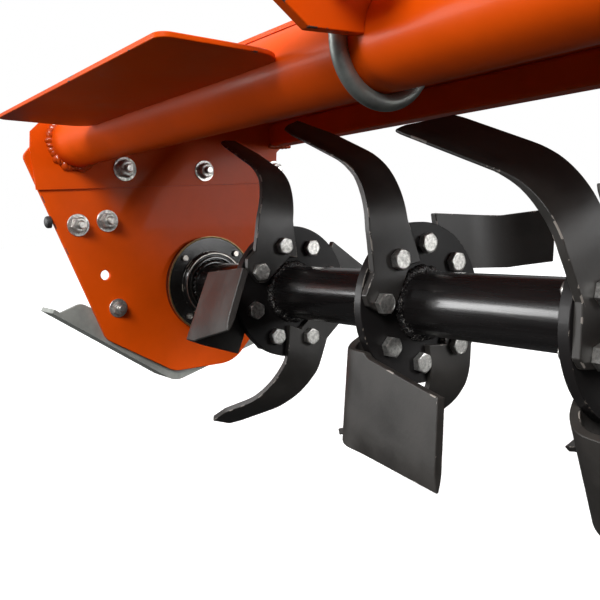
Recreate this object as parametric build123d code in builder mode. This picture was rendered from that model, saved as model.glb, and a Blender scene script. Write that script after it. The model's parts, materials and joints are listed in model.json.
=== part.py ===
from build123d import *
import math
import os

os.makedirs("parts", exist_ok=True)

# Rotary tiller for the three-point hitch of a small tractor, in millimetres.
# X runs along the rotor, -Y is the front where the tractor stands, +Z is up.
# Sizes called y and z are measured from the rotor's axis, and x from the middle
# between the side plates.

# ---------------------------------------------------------------- driving dimensions
INNER_WIDTH = 1305.0        # between the side plates
PLATE_T = 8.0               # side plate thickness
PLATE_TOP = 238.0
PLATE_ROUND_R = 144.0       # lower rear round of the side plates
HOOD_T = 4.0                # hood sheet thickness
HOOD_CREASE = 171.0         # lower edge of the hood's side flanges
FLANGE_PITCH = 268.0        # spacing of the blade discs
FLANGE_COUNT = 4
FLANGE_R = 96.0             # blade disc radius
FLANGE_T = 12.0
ROTOR_TUBE_R = 38.0
JOURNAL_R = 25.0            # bearing bore; the rotor's journals run in it
RUNNING_FIT = 0.05          # radial clearance of a journal in its bore
HOUSING_R = 82.6            # bearing housing flange
HOUSING_T = 12.0
BOSS_R = 57.0
BOSS_T = 20.0
TUBE_R = 38.0               # cross tube at the front
TUBE_WALL = 6.0
TUBE_Y = -217.0
TUBE_Z = 242.0
BEAM = 40.0                 # square beam at the rear
BEAM_WALL = 4.0
BEAM_Y = 162.0
BEAM_Z = 257.0
HITCH_X = 280.5             # hitch and gearbox stand off to the right
HITCH_HALF = 202.0          # from the hitch centre to the middle of a clamp plate
CLAMP_T = 10.0
UBOLT_R = 7.0
UBOLT_OFFSET = 18.0         # from the middle of a clamp plate, towards -X
SKID_W = 60.0
SKID_T = 7.0
CASE_W = 84.0               # drive case thickness
CASE_LOW_R = 95.0
CASE_TOP_R = 76.0
SHAFT_Y = -60.0             # cross shaft from the gearbox to the drive case
SHAFT_Z = 372.0
SHAFT_TUBE_R = 34.0
GEARBOX_W = 190.0
GEARBOX_L = 200.0
GEARBOX_H = 150.0
FLAP_HINGE_Y = 209.0
FLAP_HINGE_Z = 262.0
FLAP_LENGTH = 320.0
FLAP_T = 3.0
FLAP_REST = 20.0            # the flap is carried this far above level
HINGE_ROD_R = 6.0
HINGE_GAP = 0.3             # flap curl round the hinge rod
PTO_R = 17.4                # input shaft with six splines
PTO_LENGTH = 92.0
LINK_PIN_R = 11.0           # lower link pins
LINK_PIN_Y = -338.0
LINK_PIN_Z = 300.0
TOP_PIN_R = 9.5             # top link pin
TOP_PIN_Y = -285.0
TOP_PIN_Z = 640.0
TOP_EAR_GAP = 52.0
STAND_TUBE = 40.0
STAND_FIT = 0.5             # stand leg in its sleeve
STAND_SLEEVE_T = 5.0
FOOT_WIDTH = 110.0
FOOT_DEPTH = 90.0
FOOT_T = 8.0

# ---------------------------------------------------------------- blade sizes
BLADE_T = 9.0
BLADE_WIDTH = 76.0          # leading edge of the shank, measured across it
BLADE_WAIST = 9.0           # how much narrower the shank is before its bend
BLADE_HEEL = 10.0           # trailing edge of the shank
WING_LEAD = 94.0            # leading and trailing edges where the wing starts
WING_TRAIL = 4.0
TIP_TRAIL = 10.0            # trailing edge at the wing's tip
ROOT_IN = 48.0
ROOT_OUT = 92.0
ROOT_HALF = 38.0
FIRST_ROOT = 128.0          # root angle of the first disc's first blade
ROOT_STEP = 23.0            # each disc is turned this much further, in a helix
BLADE_SHAPES = [
    # name, hand, lean of the shank, bend radius, bend at, tip at, reach, leading edge at the tip
    ("left", -1, 54.0, 100.0, 160.0, 226.0, 168.0, 70.0),
    ("right", 1, 44.0, 50.0, 180.0, 219.0, 190.0, 90.0),
    ("short", 1, 52.0, 110.0, 150.0, 226.0, 62.0, 70.0),
]
DISC_BLADES = [
    # name, side of the disc that the root is bolted to
    ("left", 1),
    ("right", -1),
    ("left", 1),
    ("short", -1),
]

# ---------------------------------------------------------------- worked out sizes
HALF = INNER_WIDTH / 2
OUTER = HALF + PLATE_T
LINER = HALF - HOOD_T
UBOLT_X = [HITCH_X + turn * HITCH_HALF - UBOLT_OFFSET for turn in (-1, 1)]
FLANGE_X = [(i - (FLANGE_COUNT - 1) / 2) * FLANGE_PITCH for i in range(FLANGE_COUNT)]
ROOT_ANGLES = [FIRST_ROOT + i * ROOT_STEP for i in range(FLANGE_COUNT)]


def on_blade(leaning, p, q):
    """Point (y, z) of a blade at p along its shank and q across it."""
    lean = math.radians(leaning)
    return (p * math.cos(lean) + q * math.sin(lean), q * math.cos(lean) - p * math.sin(lean))


# ---------------------------------------------------------------- blade shapes
# A blade is bolted by its root to a disc, sweeps back like a sickle and bends
# sideways into its wing. Here each root points along +Y.
blade_parts = {}
hand_of = {row[0]: row[1] for row in BLADE_SHAPES}
for name, hand, leaning, bend_r, bend_at, tip_at, reach, tip_lead in BLADE_SHAPES:
    along = (0, *on_blade(leaning, 1, 0))
    across = (0, *on_blade(leaning, 0, 1))
    with BuildPart() as blade:
        with BuildSketch(Plane(origin=(0, 0, 0), x_dir=(1, 0, 0), z_dir=across)):
            with BuildLine():
                FilletPolyline(
                    (hand * BLADE_T / 2, -ROOT_OUT),
                    (hand * BLADE_T / 2, bend_at),
                    (hand * reach, tip_at),
                    radius=bend_r,
                )
            trace(line_width=BLADE_T)
        extrude(amount=2 * ROOT_OUT, both=True)
        with BuildSketch(Plane(origin=(0, 0, 0), x_dir=(0, 1, 0), z_dir=(1, 0, 0))):
            with BuildLine():
                FilletPolyline(
                    (ROOT_IN, -ROOT_HALF + 12),
                    (ROOT_IN, ROOT_HALF),
                    (ROOT_OUT, ROOT_HALF),
                    on_blade(leaning, 96, BLADE_WIDTH),
                    on_blade(leaning, bend_at - 6, BLADE_WIDTH - BLADE_WAIST),
                    on_blade(leaning, bend_at + 34, WING_LEAD),
                    on_blade(leaning, 2 * tip_at, WING_LEAD),
                    on_blade(leaning, 2 * tip_at, WING_TRAIL),
                    on_blade(leaning, bend_at + 34, WING_TRAIL),
                    on_blade(leaning, 92, BLADE_HEEL + BLADE_WAIST),
                    (ROOT_IN + 14, -ROOT_HALF),
                    radius=[8, 10, 14, 30, 30, 40, 0, 0, 60, 40, 8],
                    close=True,
                )
            make_face()
        extrude(amount=2 * reach, both=True, mode=Mode.INTERSECT)
        with BuildSketch(Plane(origin=(0, 0, 0), x_dir=(1, 0, 0), z_dir=along)):
            with BuildLine():
                FilletPolyline(
                    (-hand * BLADE_T, -3 * ROOT_OUT),
                    (hand * reach / 4, -3 * ROOT_OUT),
                    (hand * reach / 4, -WING_LEAD),
                    (hand * reach, -tip_lead),
                    (hand * reach, -TIP_TRAIL),
                    (hand * reach / 4, -WING_TRAIL),
                    (hand * reach / 4, 3 * ROOT_OUT),
                    (-hand * BLADE_T, 3 * ROOT_OUT),
                    radius=[0, 0, 0, 16, 10, 0, 0, 0],
                    close=True,
                )
            make_face()
        extrude(amount=3 * tip_at, both=True, mode=Mode.INTERSECT)
    blade_parts[name] = blade.part

# The machine parks on its lowest blades, so they set the height of the axis.
drops = [0.0]
for first in ROOT_ANGLES:
    for i, (name, _) in enumerate(DISC_BLADES):
        turned = blade_parts[name].rotate(Axis.X, first + i * 360 / len(DISC_BLADES))
        drops.append(-turned.bounding_box().min.Z)
AXIS_Z = max(drops)

FLAP_TIP_Y = FLAP_HINGE_Y + FLAP_LENGTH * math.cos(math.radians(FLAP_REST))
STAND_Y = LINK_PIN_Y + 4
FRONT_Y = STAND_Y - FOOT_DEPTH / 2
AXIS_Y = -(FRONT_Y + FLAP_TIP_Y) / 2
AXIS_X = -(CASE_W - SKID_W) / 2


def side(x):
    """Plane across the machine at x: sketch in (y, z), extrude towards +X."""
    return Plane(origin=(AXIS_X + x, AXIS_Y, AXIS_Z), x_dir=(0, 1, 0), z_dir=(1, 0, 0))


def face(y):
    """Upright plane along the machine at y: sketch in (x, z), extrude forwards."""
    return Plane(origin=(AXIS_X, AXIS_Y + y, AXIS_Z), x_dir=(1, 0, 0), z_dir=(0, -1, 0))


def level(z):
    """Level plane at z: sketch in (x, y), extrude upwards."""
    return Plane(origin=(AXIS_X, AXIS_Y, AXIS_Z + z), x_dir=(1, 0, 0), z_dir=(0, 0, 1))


def save(builder, node):
    """Label a finished piece and write its file."""
    builder.part.label = node
    export_step(builder.part, f"parts/{node}.step")


# ---------------------------------------------------------------- side plates
PLATE_OUTLINE = [           # y, z, corner radius
    (-283.0, PLATE_TOP, 14.0),
    (-297.0, 222.0, 10.0),
    (-192.0, -71.0, 24.0),
    (-77.0, -PLATE_ROUND_R + 2, 40.0),
    (40.0, -PLATE_ROUND_R, 60.0),
    (PLATE_ROUND_R, -40.0, 90.0),
    (PLATE_ROUND_R + 6, 221.0, 12.0),
    (PLATE_ROUND_R - 4, PLATE_TOP, 8.0),
]
for node, x in (("side_plate_left", -OUTER), ("side_plate_right", HALF)):
    with BuildPart() as plate:
        with BuildSketch(side(x)):
            with BuildLine():
                FilletPolyline(
                    [(y, z) for y, z, _ in PLATE_OUTLINE],
                    radius=[r for _, _, r in PLATE_OUTLINE],
                    close=True,
                )
            make_face()
            Circle(BOSS_R - 6, mode=Mode.SUBTRACT)
            with Locations((-185, 33)):
                Circle(8, mode=Mode.SUBTRACT)
        extrude(amount=PLATE_T)
    save(plate, node)

# ---------------------------------------------------------------- front tube and rear beam
with BuildPart() as main_tube:
    with BuildSketch(side(-LINER)):
        with Locations((TUBE_Y, TUBE_Z)):
            Circle(TUBE_R)
            Circle(TUBE_R - TUBE_WALL, mode=Mode.SUBTRACT)
    extrude(amount=2 * LINER)
save(main_tube, "main_tube")

with BuildPart() as rear_beam:
    with BuildSketch(side(-LINER)):
        with Locations((BEAM_Y, BEAM_Z)):
            RectangleRounded(BEAM, BEAM, 5)
            RectangleRounded(BEAM - 2 * BEAM_WALL, BEAM - 2 * BEAM_WALL, 2, mode=Mode.SUBTRACT)
    extrude(amount=2 * LINER)
save(rear_beam, "rear_beam")

# ---------------------------------------------------------------- hood
# One bent sheet: a roof from the front tube to the rear beam and two side flanges
# that lie inside the side plates.
ROOF_FRONT = TUBE_Y - 10
ROOF_FRONT_Z = 272.0
HOOD_CUT_Y = 400.0          # far outside the hood, for the space under its roof
HOOD_CUT_Z = 100.0
HOOD_ROOF = [               # y, z of the roof's lower face
    (-264.0, 272.0),
    (-240.0, TUBE_Z + TUBE_R),
    (TUBE_Y + 2 * TUBE_R, TUBE_Z + TUBE_R),
    (-60.0, 292.0),
    (BEAM_Y - BEAM / 2, BEAM_Z + BEAM / 2),
    (BEAM_Y + BEAM / 2 + 4, BEAM_Z + BEAM / 2),
]
with BuildPart() as hood:
    with BuildSketch(side(-HALF)):
        with BuildLine():
            FilletPolyline(
                [(-284, 258), (-287, 230), (-283, HOOD_CREASE), (150, HOOD_CREASE), (156, 226)]
                + [(BEAM_Y + BEAM / 2 + 4, BEAM_Z - 8)]
                + [(y, z + HOOD_T) for y, z in reversed(HOOD_ROOF)],
                radius=0,
                close=True,
            )
        make_face()
    extrude(amount=INNER_WIDTH)
    with BuildSketch(side(-LINER)):
        with BuildLine():
            Polyline(
                [(-HOOD_CUT_Y, HOOD_CUT_Z), (HOOD_CUT_Y, HOOD_CUT_Z), (HOOD_CUT_Y, BEAM_Z + BEAM / 2)]
                + list(reversed(HOOD_ROOF))
                + [(-HOOD_CUT_Y, ROOF_FRONT_Z), (-HOOD_CUT_Y, HOOD_CUT_Z)]
            )
        make_face()
    extrude(amount=2 * LINER, mode=Mode.SUBTRACT)
    with BuildSketch(side(-LINER)):
        with Locations((ROOF_FRONT - 100, 300)):
            Rectangle(200, 200)
    extrude(amount=2 * LINER, mode=Mode.SUBTRACT)
    with BuildSketch(level(TUBE_Z + TUBE_R - 20)):
        with Locations([(x, TUBE_Y + TUBE_R + UBOLT_R) for x in UBOLT_X]):
            Circle(UBOLT_R + 1)
    extrude(amount=60, mode=Mode.SUBTRACT)
save(hood, "hood")

# ---------------------------------------------------------------- front guard
# A flat plate on the front of the tube, rounded where it meets the tube's end.
GUARD_LEFT = -488.0
GUARD_RIGHT = HITCH_X - HITCH_HALF - 94.0
GUARD_DEPTH = 118.0
GUARD_T = 5.0
GUARD_RISE = 4.0            # slope in degrees, up towards the front
GUARD_Z = 244.0
rise = math.radians(GUARD_RISE)
with BuildPart() as front_guard:
    guard_plane = Plane(
        origin=(AXIS_X, AXIS_Y + TUBE_Y - TUBE_R, AXIS_Z + GUARD_Z),
        x_dir=(1, 0, 0),
        z_dir=(0, math.sin(rise), math.cos(rise)),
    )
    with BuildSketch(guard_plane):
        with BuildLine():
            FilletPolyline(
                (GUARD_LEFT, 3),
                (GUARD_RIGHT, 3),
                (GUARD_RIGHT, -GUARD_DEPTH),
                (GUARD_LEFT, -GUARD_DEPTH),
                radius=[34, 34, 12, 12],
                close=True,
            )
        make_face()
    extrude(amount=GUARD_T)
    with BuildSketch(side(GUARD_LEFT)):
        with Locations((TUBE_Y, TUBE_Z)):
            Circle(TUBE_R)
    extrude(amount=GUARD_RIGHT - GUARD_LEFT, mode=Mode.SUBTRACT)
save(front_guard, "front_guard")

# ---------------------------------------------------------------- rotor bearings
for node, face_x, inward in (
    ("bearing_housing_left", -HALF, 1),
    ("bearing_housing_right", HALF, -1),
):
    with BuildPart() as housing:
        with BuildSketch(side(face_x)):
            Circle(HOUSING_R)
            Circle(JOURNAL_R, mode=Mode.SUBTRACT)
        extrude(amount=inward * HOUSING_T)
        with BuildSketch(side(face_x + inward * HOUSING_T)):
            Circle(BOSS_R)
            Circle(JOURNAL_R, mode=Mode.SUBTRACT)
        extrude(amount=inward * (BOSS_T - HOUSING_T))
        with BuildSketch(side(face_x)):
            Circle(BOSS_R - 6)
            Circle(JOURNAL_R, mode=Mode.SUBTRACT)
        extrude(amount=-inward * PLATE_T)
    save(housing, node)

with BuildPart() as bearing_cap:
    with BuildSketch(side(-OUTER)):
        Circle(BOSS_R)
    extrude(amount=-14, taper=12)
save(bearing_cap, "bearing_cap")

# ---------------------------------------------------------------- skids
# A bent sole with a web bolted to the outside of the side plate.
SKID_LINE = [               # y, z of the sole's middle line
    (-271.0, -16.0),
    (-73.0, -158.0),
    (150.0, -100.0),
]
for node, x, outward in (("skid_left", -OUTER, -1), ("skid_right", OUTER, 1)):
    with BuildPart() as skid:
        with BuildSketch(side(x)):
            with BuildLine():
                FilletPolyline(SKID_LINE, radius=30)
            trace(line_width=SKID_T)
        extrude(amount=outward * SKID_W)
        with BuildSketch(side(x)):
            with BuildLine():
                FilletPolyline(
                    (-262, -20),
                    (-226, -8),
                    (-66, -106),
                    (140, -98),
                    (150, -100),
                    (-73, -158),
                    radius=[0, 16, 0, 0, 0, 26],
                    close=True,
                )
            make_face()
        extrude(amount=outward * SKID_T)
    save(skid, node)

# ---------------------------------------------------------------- drive case
with BuildPart() as drive_case:
    with BuildSketch(side(OUTER)):
        Circle(CASE_LOW_R)
        with Locations((SHAFT_Y, SHAFT_Z)):
            Circle(CASE_TOP_R)
        make_hull()
        Circle(JOURNAL_R, mode=Mode.SUBTRACT)
    extrude(amount=CASE_W - 12)
    with BuildSketch(side(OUTER + CASE_W - 12)):
        Circle(CASE_LOW_R)
        with Locations((SHAFT_Y, SHAFT_Z)):
            Circle(CASE_TOP_R)
        make_hull()
    extrude(amount=12)
    chamfer(drive_case.edges().filter_by(Plane.YZ).group_by(Axis.X)[-1], length=9)
save(drive_case, "drive_case")

# ---------------------------------------------------------------- gearbox
with BuildPart() as gearbox:
    with BuildSketch(side(HITCH_X - GEARBOX_W / 2)):
        with Locations((SHAFT_Y, SHAFT_Z)):
            RectangleRounded(GEARBOX_L, GEARBOX_H, 30)
    extrude(amount=GEARBOX_W)
    chamfer(gearbox.edges().filter_by(Plane.YZ), length=7)
    with BuildSketch(face(SHAFT_Y - GEARBOX_L / 2)):
        with Locations((HITCH_X, SHAFT_Z)):
            Circle(58)
            Circle(PTO_R + RUNNING_FIT, mode=Mode.SUBTRACT)
    extrude(amount=18)
    with BuildSketch(face(SHAFT_Y - GEARBOX_L / 2 + 60)):
        with Locations((HITCH_X, SHAFT_Z)):
            Circle(PTO_R + RUNNING_FIT)
    extrude(amount=60, mode=Mode.SUBTRACT)
save(gearbox, "gearbox")

TUBE_START = HITCH_X + GEARBOX_W / 2 + CLAMP_T
COLLAR_T = 12.0
with BuildPart() as drive_tube:
    with BuildSketch(side(TUBE_START)):
        with Locations((SHAFT_Y, SHAFT_Z)):
            Circle(SHAFT_TUBE_R)
    extrude(amount=OUTER - TUBE_START)
    for x in (TUBE_START, OUTER - COLLAR_T):
        with BuildSketch(side(x)):
            with Locations((SHAFT_Y, SHAFT_Z)):
                Circle(SHAFT_TUBE_R + 22)
        extrude(amount=COLLAR_T)
save(drive_tube, "drive_tube")

# The carrier is two upright plates on the front tube and the roof, under the gearbox.
CARRIER_FOOT_Z = 294.0
for node, x in (
    ("gearbox_carrier_left", HITCH_X - GEARBOX_W / 2 - CLAMP_T),
    ("gearbox_carrier_right", HITCH_X + GEARBOX_W / 2),
):
    with BuildPart() as carrier:
        with BuildSketch(side(x)):
            with BuildLine():
                FilletPolyline(
                    (TUBE_Y - 20, TUBE_Z + TUBE_R + HOOD_T),
                    (-40, CARRIER_FOOT_Z + HOOD_T),
                    (60, CARRIER_FOOT_Z - 5 + HOOD_T),
                    (SHAFT_Y + 60, SHAFT_Z + 40),
                    (SHAFT_Y - 60, SHAFT_Z + 40),
                    radius=[0, 0, 0, 16, 16],
                    close=True,
                )
            make_face()
        extrude(amount=CLAMP_T)
    save(carrier, node)

# ---------------------------------------------------------------- input shaft
with BuildPart() as input_shaft:
    with BuildSketch(face(SHAFT_Y - GEARBOX_L / 2 + 60)):
        with Locations((HITCH_X, SHAFT_Z)):
            Circle(PTO_R)
    extrude(amount=78)
    with BuildSketch(face(SHAFT_Y - GEARBOX_L / 2 - 18)):
        with Locations((HITCH_X, SHAFT_Z)):
            Circle(PTO_R)
            with PolarLocations(PTO_R, 6):
                Rectangle(5, 8.7, mode=Mode.SUBTRACT)
    extrude(amount=PTO_LENGTH - 18)
save(input_shaft, "input_shaft")

SHAFT_GUARD_R = 64.0
with BuildPart() as shaft_guard:
    with BuildSketch(face(SHAFT_Y - GEARBOX_L / 2 - 18)):
        with Locations((HITCH_X, SHAFT_Z)):
            Circle(SHAFT_GUARD_R)
            Circle(24, mode=Mode.SUBTRACT)
    extrude(amount=4)
    with BuildSketch(face(SHAFT_Y - GEARBOX_L / 2 - 22)):
        with Locations((HITCH_X, SHAFT_Z)):
            Circle(SHAFT_GUARD_R)
            Circle(SHAFT_GUARD_R - 4, mode=Mode.SUBTRACT)
    extrude(amount=88)
save(shaft_guard, "shaft_guard")

# ---------------------------------------------------------------- hitch clamps
# Each clamp plate saddles the front tube from above the guard and reaches forward to
# its lower link pin; a U-bolt beside it passes under the tube and ties it down.
CLAMP_R = 54.0
CLAMP_CREST_R = 34.0
CLAMP_CREST_Y = 64.0
CLAMP_CREST_Z = 62.0
EAR_R = 26.0
for node, pin_node, x, outward in (
    ("hitch_clamp_left", "link_pin_left", HITCH_X - HITCH_HALF, -1),
    ("hitch_clamp_right", "link_pin_right", HITCH_X + HITCH_HALF, 1),
):
    with BuildPart() as clamp:
        with BuildSketch(side(x - CLAMP_T / 2)):
            with Locations((TUBE_Y, TUBE_Z)):
                Circle(CLAMP_R)
            with Locations((LINK_PIN_Y, LINK_PIN_Z)):
                Circle(EAR_R)
            with Locations((TUBE_Y - CLAMP_CREST_Y, TUBE_Z + CLAMP_CREST_Z)):
                Circle(CLAMP_CREST_R)
            make_hull()
            with Locations((TUBE_Y, TUBE_Z)):
                Circle(TUBE_R, mode=Mode.SUBTRACT)
            with Locations((ROOF_FRONT - 2 + 4 * CLAMP_R, TUBE_Z)):
                Rectangle(8 * CLAMP_R, 8 * CLAMP_R, mode=Mode.SUBTRACT)
            with Locations((TUBE_Y, TUBE_Z - 2 * CLAMP_R)):
                Rectangle(8 * CLAMP_R, 4 * CLAMP_R, mode=Mode.SUBTRACT)
            with Locations((LINK_PIN_Y, LINK_PIN_Z)):
                Circle(LINK_PIN_R, mode=Mode.SUBTRACT)
        extrude(amount=CLAMP_T)
    save(clamp, node)
    with BuildPart() as link_pin:
        with BuildSketch(side(x - outward * CLAMP_T / 2)):
            with Locations((LINK_PIN_Y, LINK_PIN_Z)):
                Circle(LINK_PIN_R)
        extrude(amount=outward * (CLAMP_T + 70))
        with BuildSketch(side(x + outward * CLAMP_T / 2)):
            with Locations((LINK_PIN_Y, LINK_PIN_Z)):
                Circle(18)
        extrude(amount=outward * 8)
    save(link_pin, pin_node)

with BuildPart() as u_bolts:
    for x in UBOLT_X:
        reach = TUBE_R + UBOLT_R
        with BuildLine(side(x)) as bow:
            Line((TUBE_Y - reach, TUBE_Z + 66), (TUBE_Y - reach, TUBE_Z))
            ThreePointArc(
                (TUBE_Y - reach, TUBE_Z),
                (TUBE_Y, TUBE_Z - reach),
                (TUBE_Y + reach, TUBE_Z),
            )
            Line((TUBE_Y + reach, TUBE_Z), (TUBE_Y + reach, TUBE_Z + 66))
        with BuildSketch(Plane(origin=bow.line @ 0, z_dir=bow.line % 0)):
            Circle(UBOLT_R)
        sweep()
save(u_bolts, "u_bolts")

with BuildPart() as clamp_caps:
    with BuildSketch(level(TUBE_Z + TUBE_R + HOOD_T)):
        for x in UBOLT_X:
            with Locations((x, TUBE_Y)):
                RectangleRounded(2 * UBOLT_OFFSET - CLAMP_T, 130, 5)
                with Locations((0, -TUBE_R - UBOLT_R), (0, TUBE_R + UBOLT_R)):
                    Circle(UBOLT_R + 1, mode=Mode.SUBTRACT)
    extrude(amount=10)
save(clamp_caps, "clamp_caps")

# ---------------------------------------------------------------- mast
MAST_Y = TUBE_Y - TUBE_R - 30
MAST_HEAD = 90.0
MAST_BAR_DROP = 120.0
MAST_T = 14.0
MAST_LEG = 60.0
EAR_T = 10.0
with BuildPart() as mast:
    with BuildSketch(face(MAST_Y)):
        for turn in (-1, 1):
            foot = HITCH_X + turn * (HITCH_HALF - CLAMP_T / 2)
            head = HITCH_X + turn * TOP_EAR_GAP / 2
            with BuildLine():
                Polyline(
                    (foot, TUBE_Z + 34),
                    (foot, TUBE_Z + 84),
                    (head + turn * 30, TOP_PIN_Z - 10),
                    (head, TOP_PIN_Z - 10),
                    (head, TOP_PIN_Z - MAST_HEAD),
                    (foot - turn * MAST_LEG, TUBE_Z + 34),
                    (foot, TUBE_Z + 34),
                )
            make_face()
        with Locations((HITCH_X, TOP_PIN_Z - MAST_BAR_DROP)):
            Rectangle(2 * TOP_EAR_GAP, 44)
    extrude(amount=MAST_T)
    for turn in (-1, 1):
        with BuildSketch(side(HITCH_X + turn * (TOP_EAR_GAP + EAR_T) / 2 - EAR_T / 2)):
            with Locations((TOP_PIN_Y, TOP_PIN_Z)):
                Circle(30)
            with Locations((TOP_PIN_Y, TOP_PIN_Z - 50)):
                Rectangle(60, 100)
            with Locations((TOP_PIN_Y, TOP_PIN_Z)):
                Circle(TOP_PIN_R, mode=Mode.SUBTRACT)
        extrude(amount=EAR_T)
save(mast, "mast")

# Two round stays splay from the mast's ears back to the rear beam.
STAY_R = 11.0
STAY_SPLAY = 242.0
for node, turn in (("mast_stay_left", -1), ("mast_stay_right", 1)):
    ear_x = HITCH_X + turn * (TOP_EAR_GAP / 2 + EAR_T)
    top = Vector(AXIS_X + ear_x - turn * 20, AXIS_Y + TOP_PIN_Y - 14, AXIS_Z + TOP_PIN_Z - 24)
    low = Vector(AXIS_X + HITCH_X + turn * STAY_SPLAY, AXIS_Y + BEAM_Y + 32, AXIS_Z + BEAM_Z)
    with BuildPart() as stay:
        with BuildSketch(Plane(origin=top, z_dir=low - top)):
            Circle(STAY_R)
        extrude(amount=(low - top).length)
        split(bisect_by=level(BEAM_Z + BEAM / 2 + HOOD_T), keep=Keep.TOP)
        split(bisect_by=side(ear_x), keep=Keep.TOP if turn > 0 else Keep.BOTTOM)
    save(stay, node)

# ---------------------------------------------------------------- rear flap
FLAP_HALF = HALF - 14.0
LUG_T = 8.0
LUG_X = [-HALF + 60.0, -6.0, HALF - 68.0]
with BuildPart() as flap_hinge:
    for x in LUG_X:
        with BuildSketch(side(x)):
            with BuildLine():
                Polyline(
                    (BEAM_Y + BEAM / 2, BEAM_Z - 14),
                    (FLAP_HINGE_Y + 2, FLAP_HINGE_Z - 10),
                    (FLAP_HINGE_Y + 2, FLAP_HINGE_Z + 10),
                    (BEAM_Y + BEAM / 2, BEAM_Z + 14),
                    (BEAM_Y + BEAM / 2, BEAM_Z - 14),
                )
            make_face()
        extrude(amount=LUG_T)
    with BuildSketch(side(-FLAP_HALF)):
        with Locations((FLAP_HINGE_Y, FLAP_HINGE_Z)):
            Circle(HINGE_ROD_R)
    extrude(amount=2 * FLAP_HALF)
save(flap_hinge, "flap_hinge")

rest = math.radians(FLAP_REST)


def on_flap(s, h):
    """Point (y, z) at s along the raised flap and h above its middle line."""
    y = FLAP_HINGE_Y + s * math.cos(rest) - h * math.sin(rest)
    z = FLAP_HINGE_Z + s * math.sin(rest) + h * math.cos(rest)
    return (y, z)


CURL_R = HINGE_ROD_R + HINGE_GAP + FLAP_T
with BuildPart() as rear_flap:
    with BuildSketch(side(-FLAP_HALF)):
        with Locations((FLAP_HINGE_Y, FLAP_HINGE_Z)):
            Circle(CURL_R)
        with BuildLine():
            FilletPolyline(
                on_flap(6, CURL_R - FLAP_T / 2),
                on_flap(FLAP_LENGTH * 0.45, CURL_R),
                on_flap(FLAP_LENGTH * 0.92, -14),
                on_flap(FLAP_LENGTH, 2),
                radius=[60, 14],
            )
        trace(line_width=FLAP_T)
        with Locations((FLAP_HINGE_Y, FLAP_HINGE_Z)):
            Circle(HINGE_ROD_R + HINGE_GAP, mode=Mode.SUBTRACT)
    extrude(amount=2 * FLAP_HALF)
    for x in LUG_X:
        with BuildSketch(side(x - 2)):
            with Locations((FLAP_HINGE_Y, FLAP_HINGE_Z)):
                Circle(CURL_R + 6)
        extrude(amount=LUG_T + 4, mode=Mode.SUBTRACT)
save(rear_flap, "rear_flap")

# ---------------------------------------------------------------- parking stand
SLEEVE = STAND_TUBE + 2 * STAND_FIT + 2 * STAND_SLEEVE_T
STAND_X = HITCH_X + HITCH_HALF - CLAMP_T / 2 - SLEEVE / 2
SLEEVE_BORE = STAND_TUBE + 2 * STAND_FIT
SLEEVE_LENGTH = 120.0
SLEEVE_LOW = LINK_PIN_Z - 60
with BuildPart() as stand_sleeve:
    with BuildSketch(level(SLEEVE_LOW)):
        with Locations((STAND_X, STAND_Y)):
            Rectangle(SLEEVE, SLEEVE)
            Rectangle(SLEEVE_BORE, SLEEVE_BORE, mode=Mode.SUBTRACT)
    extrude(amount=SLEEVE_LENGTH)
save(stand_sleeve, "stand_sleeve")

with BuildPart() as parking_stand:
    with BuildSketch(level(-AXIS_Z + FOOT_T)):
        with Locations((STAND_X, STAND_Y)):
            RectangleRounded(STAND_TUBE, STAND_TUBE, 4)
    extrude(amount=AXIS_Z - FOOT_T + SLEEVE_LOW + SLEEVE_LENGTH + 50)
    with BuildSketch(level(-AXIS_Z)):
        with Locations((STAND_X, STAND_Y)):
            RectangleRounded(FOOT_WIDTH, FOOT_DEPTH, 10)
    extrude(amount=FOOT_T)
save(parking_stand, "parking_stand")

# ---------------------------------------------------------------- rotor
HUB_X = HALF - BOSS_T - 6
with BuildPart() as rotor_shaft:
    with BuildSketch(side(-HUB_X)):
        Circle(ROTOR_TUBE_R)
    extrude(amount=2 * HUB_X)
    with BuildSketch(side(-OUTER + 2)):
        Circle(JOURNAL_R - RUNNING_FIT)
    extrude(amount=2 * OUTER - 2 + 30)
save(rotor_shaft, "rotor_shaft")

for i, (x, first) in enumerate(zip(FLANGE_X, ROOT_ANGLES)):
    with BuildPart() as disc:
        with BuildSketch(side(x - FLANGE_T / 2)):
            Circle(FLANGE_R)
            Circle(ROTOR_TUBE_R, mode=Mode.SUBTRACT)
        extrude(amount=FLANGE_T)
    save(disc, f"blade_disc_{i + 1}")
    with BuildPart() as blades:
        for j, (name, face_side) in enumerate(DISC_BLADES):
            turn = first + j * 360 / len(DISC_BLADES)
            root_x = AXIS_X + x + (face_side * (FLANGE_T + BLADE_T) - hand_of[name] * BLADE_T) / 2
            with Locations(Location((root_x, AXIS_Y, AXIS_Z), (turn, 0, 0))):
                add(blade_parts[name])
    save(blades, f"blades_{i + 1}")

print(f"axis at {AXIS_X:.3f}, {AXIS_Y:.3f}, {AXIS_Z:.3f}")
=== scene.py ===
import json
import math

import bmesh
import bpy
import numpy as np
from bpy.props import FloatProperty, FloatVectorProperty, PointerProperty
from mathutils import Matrix, Vector


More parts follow.
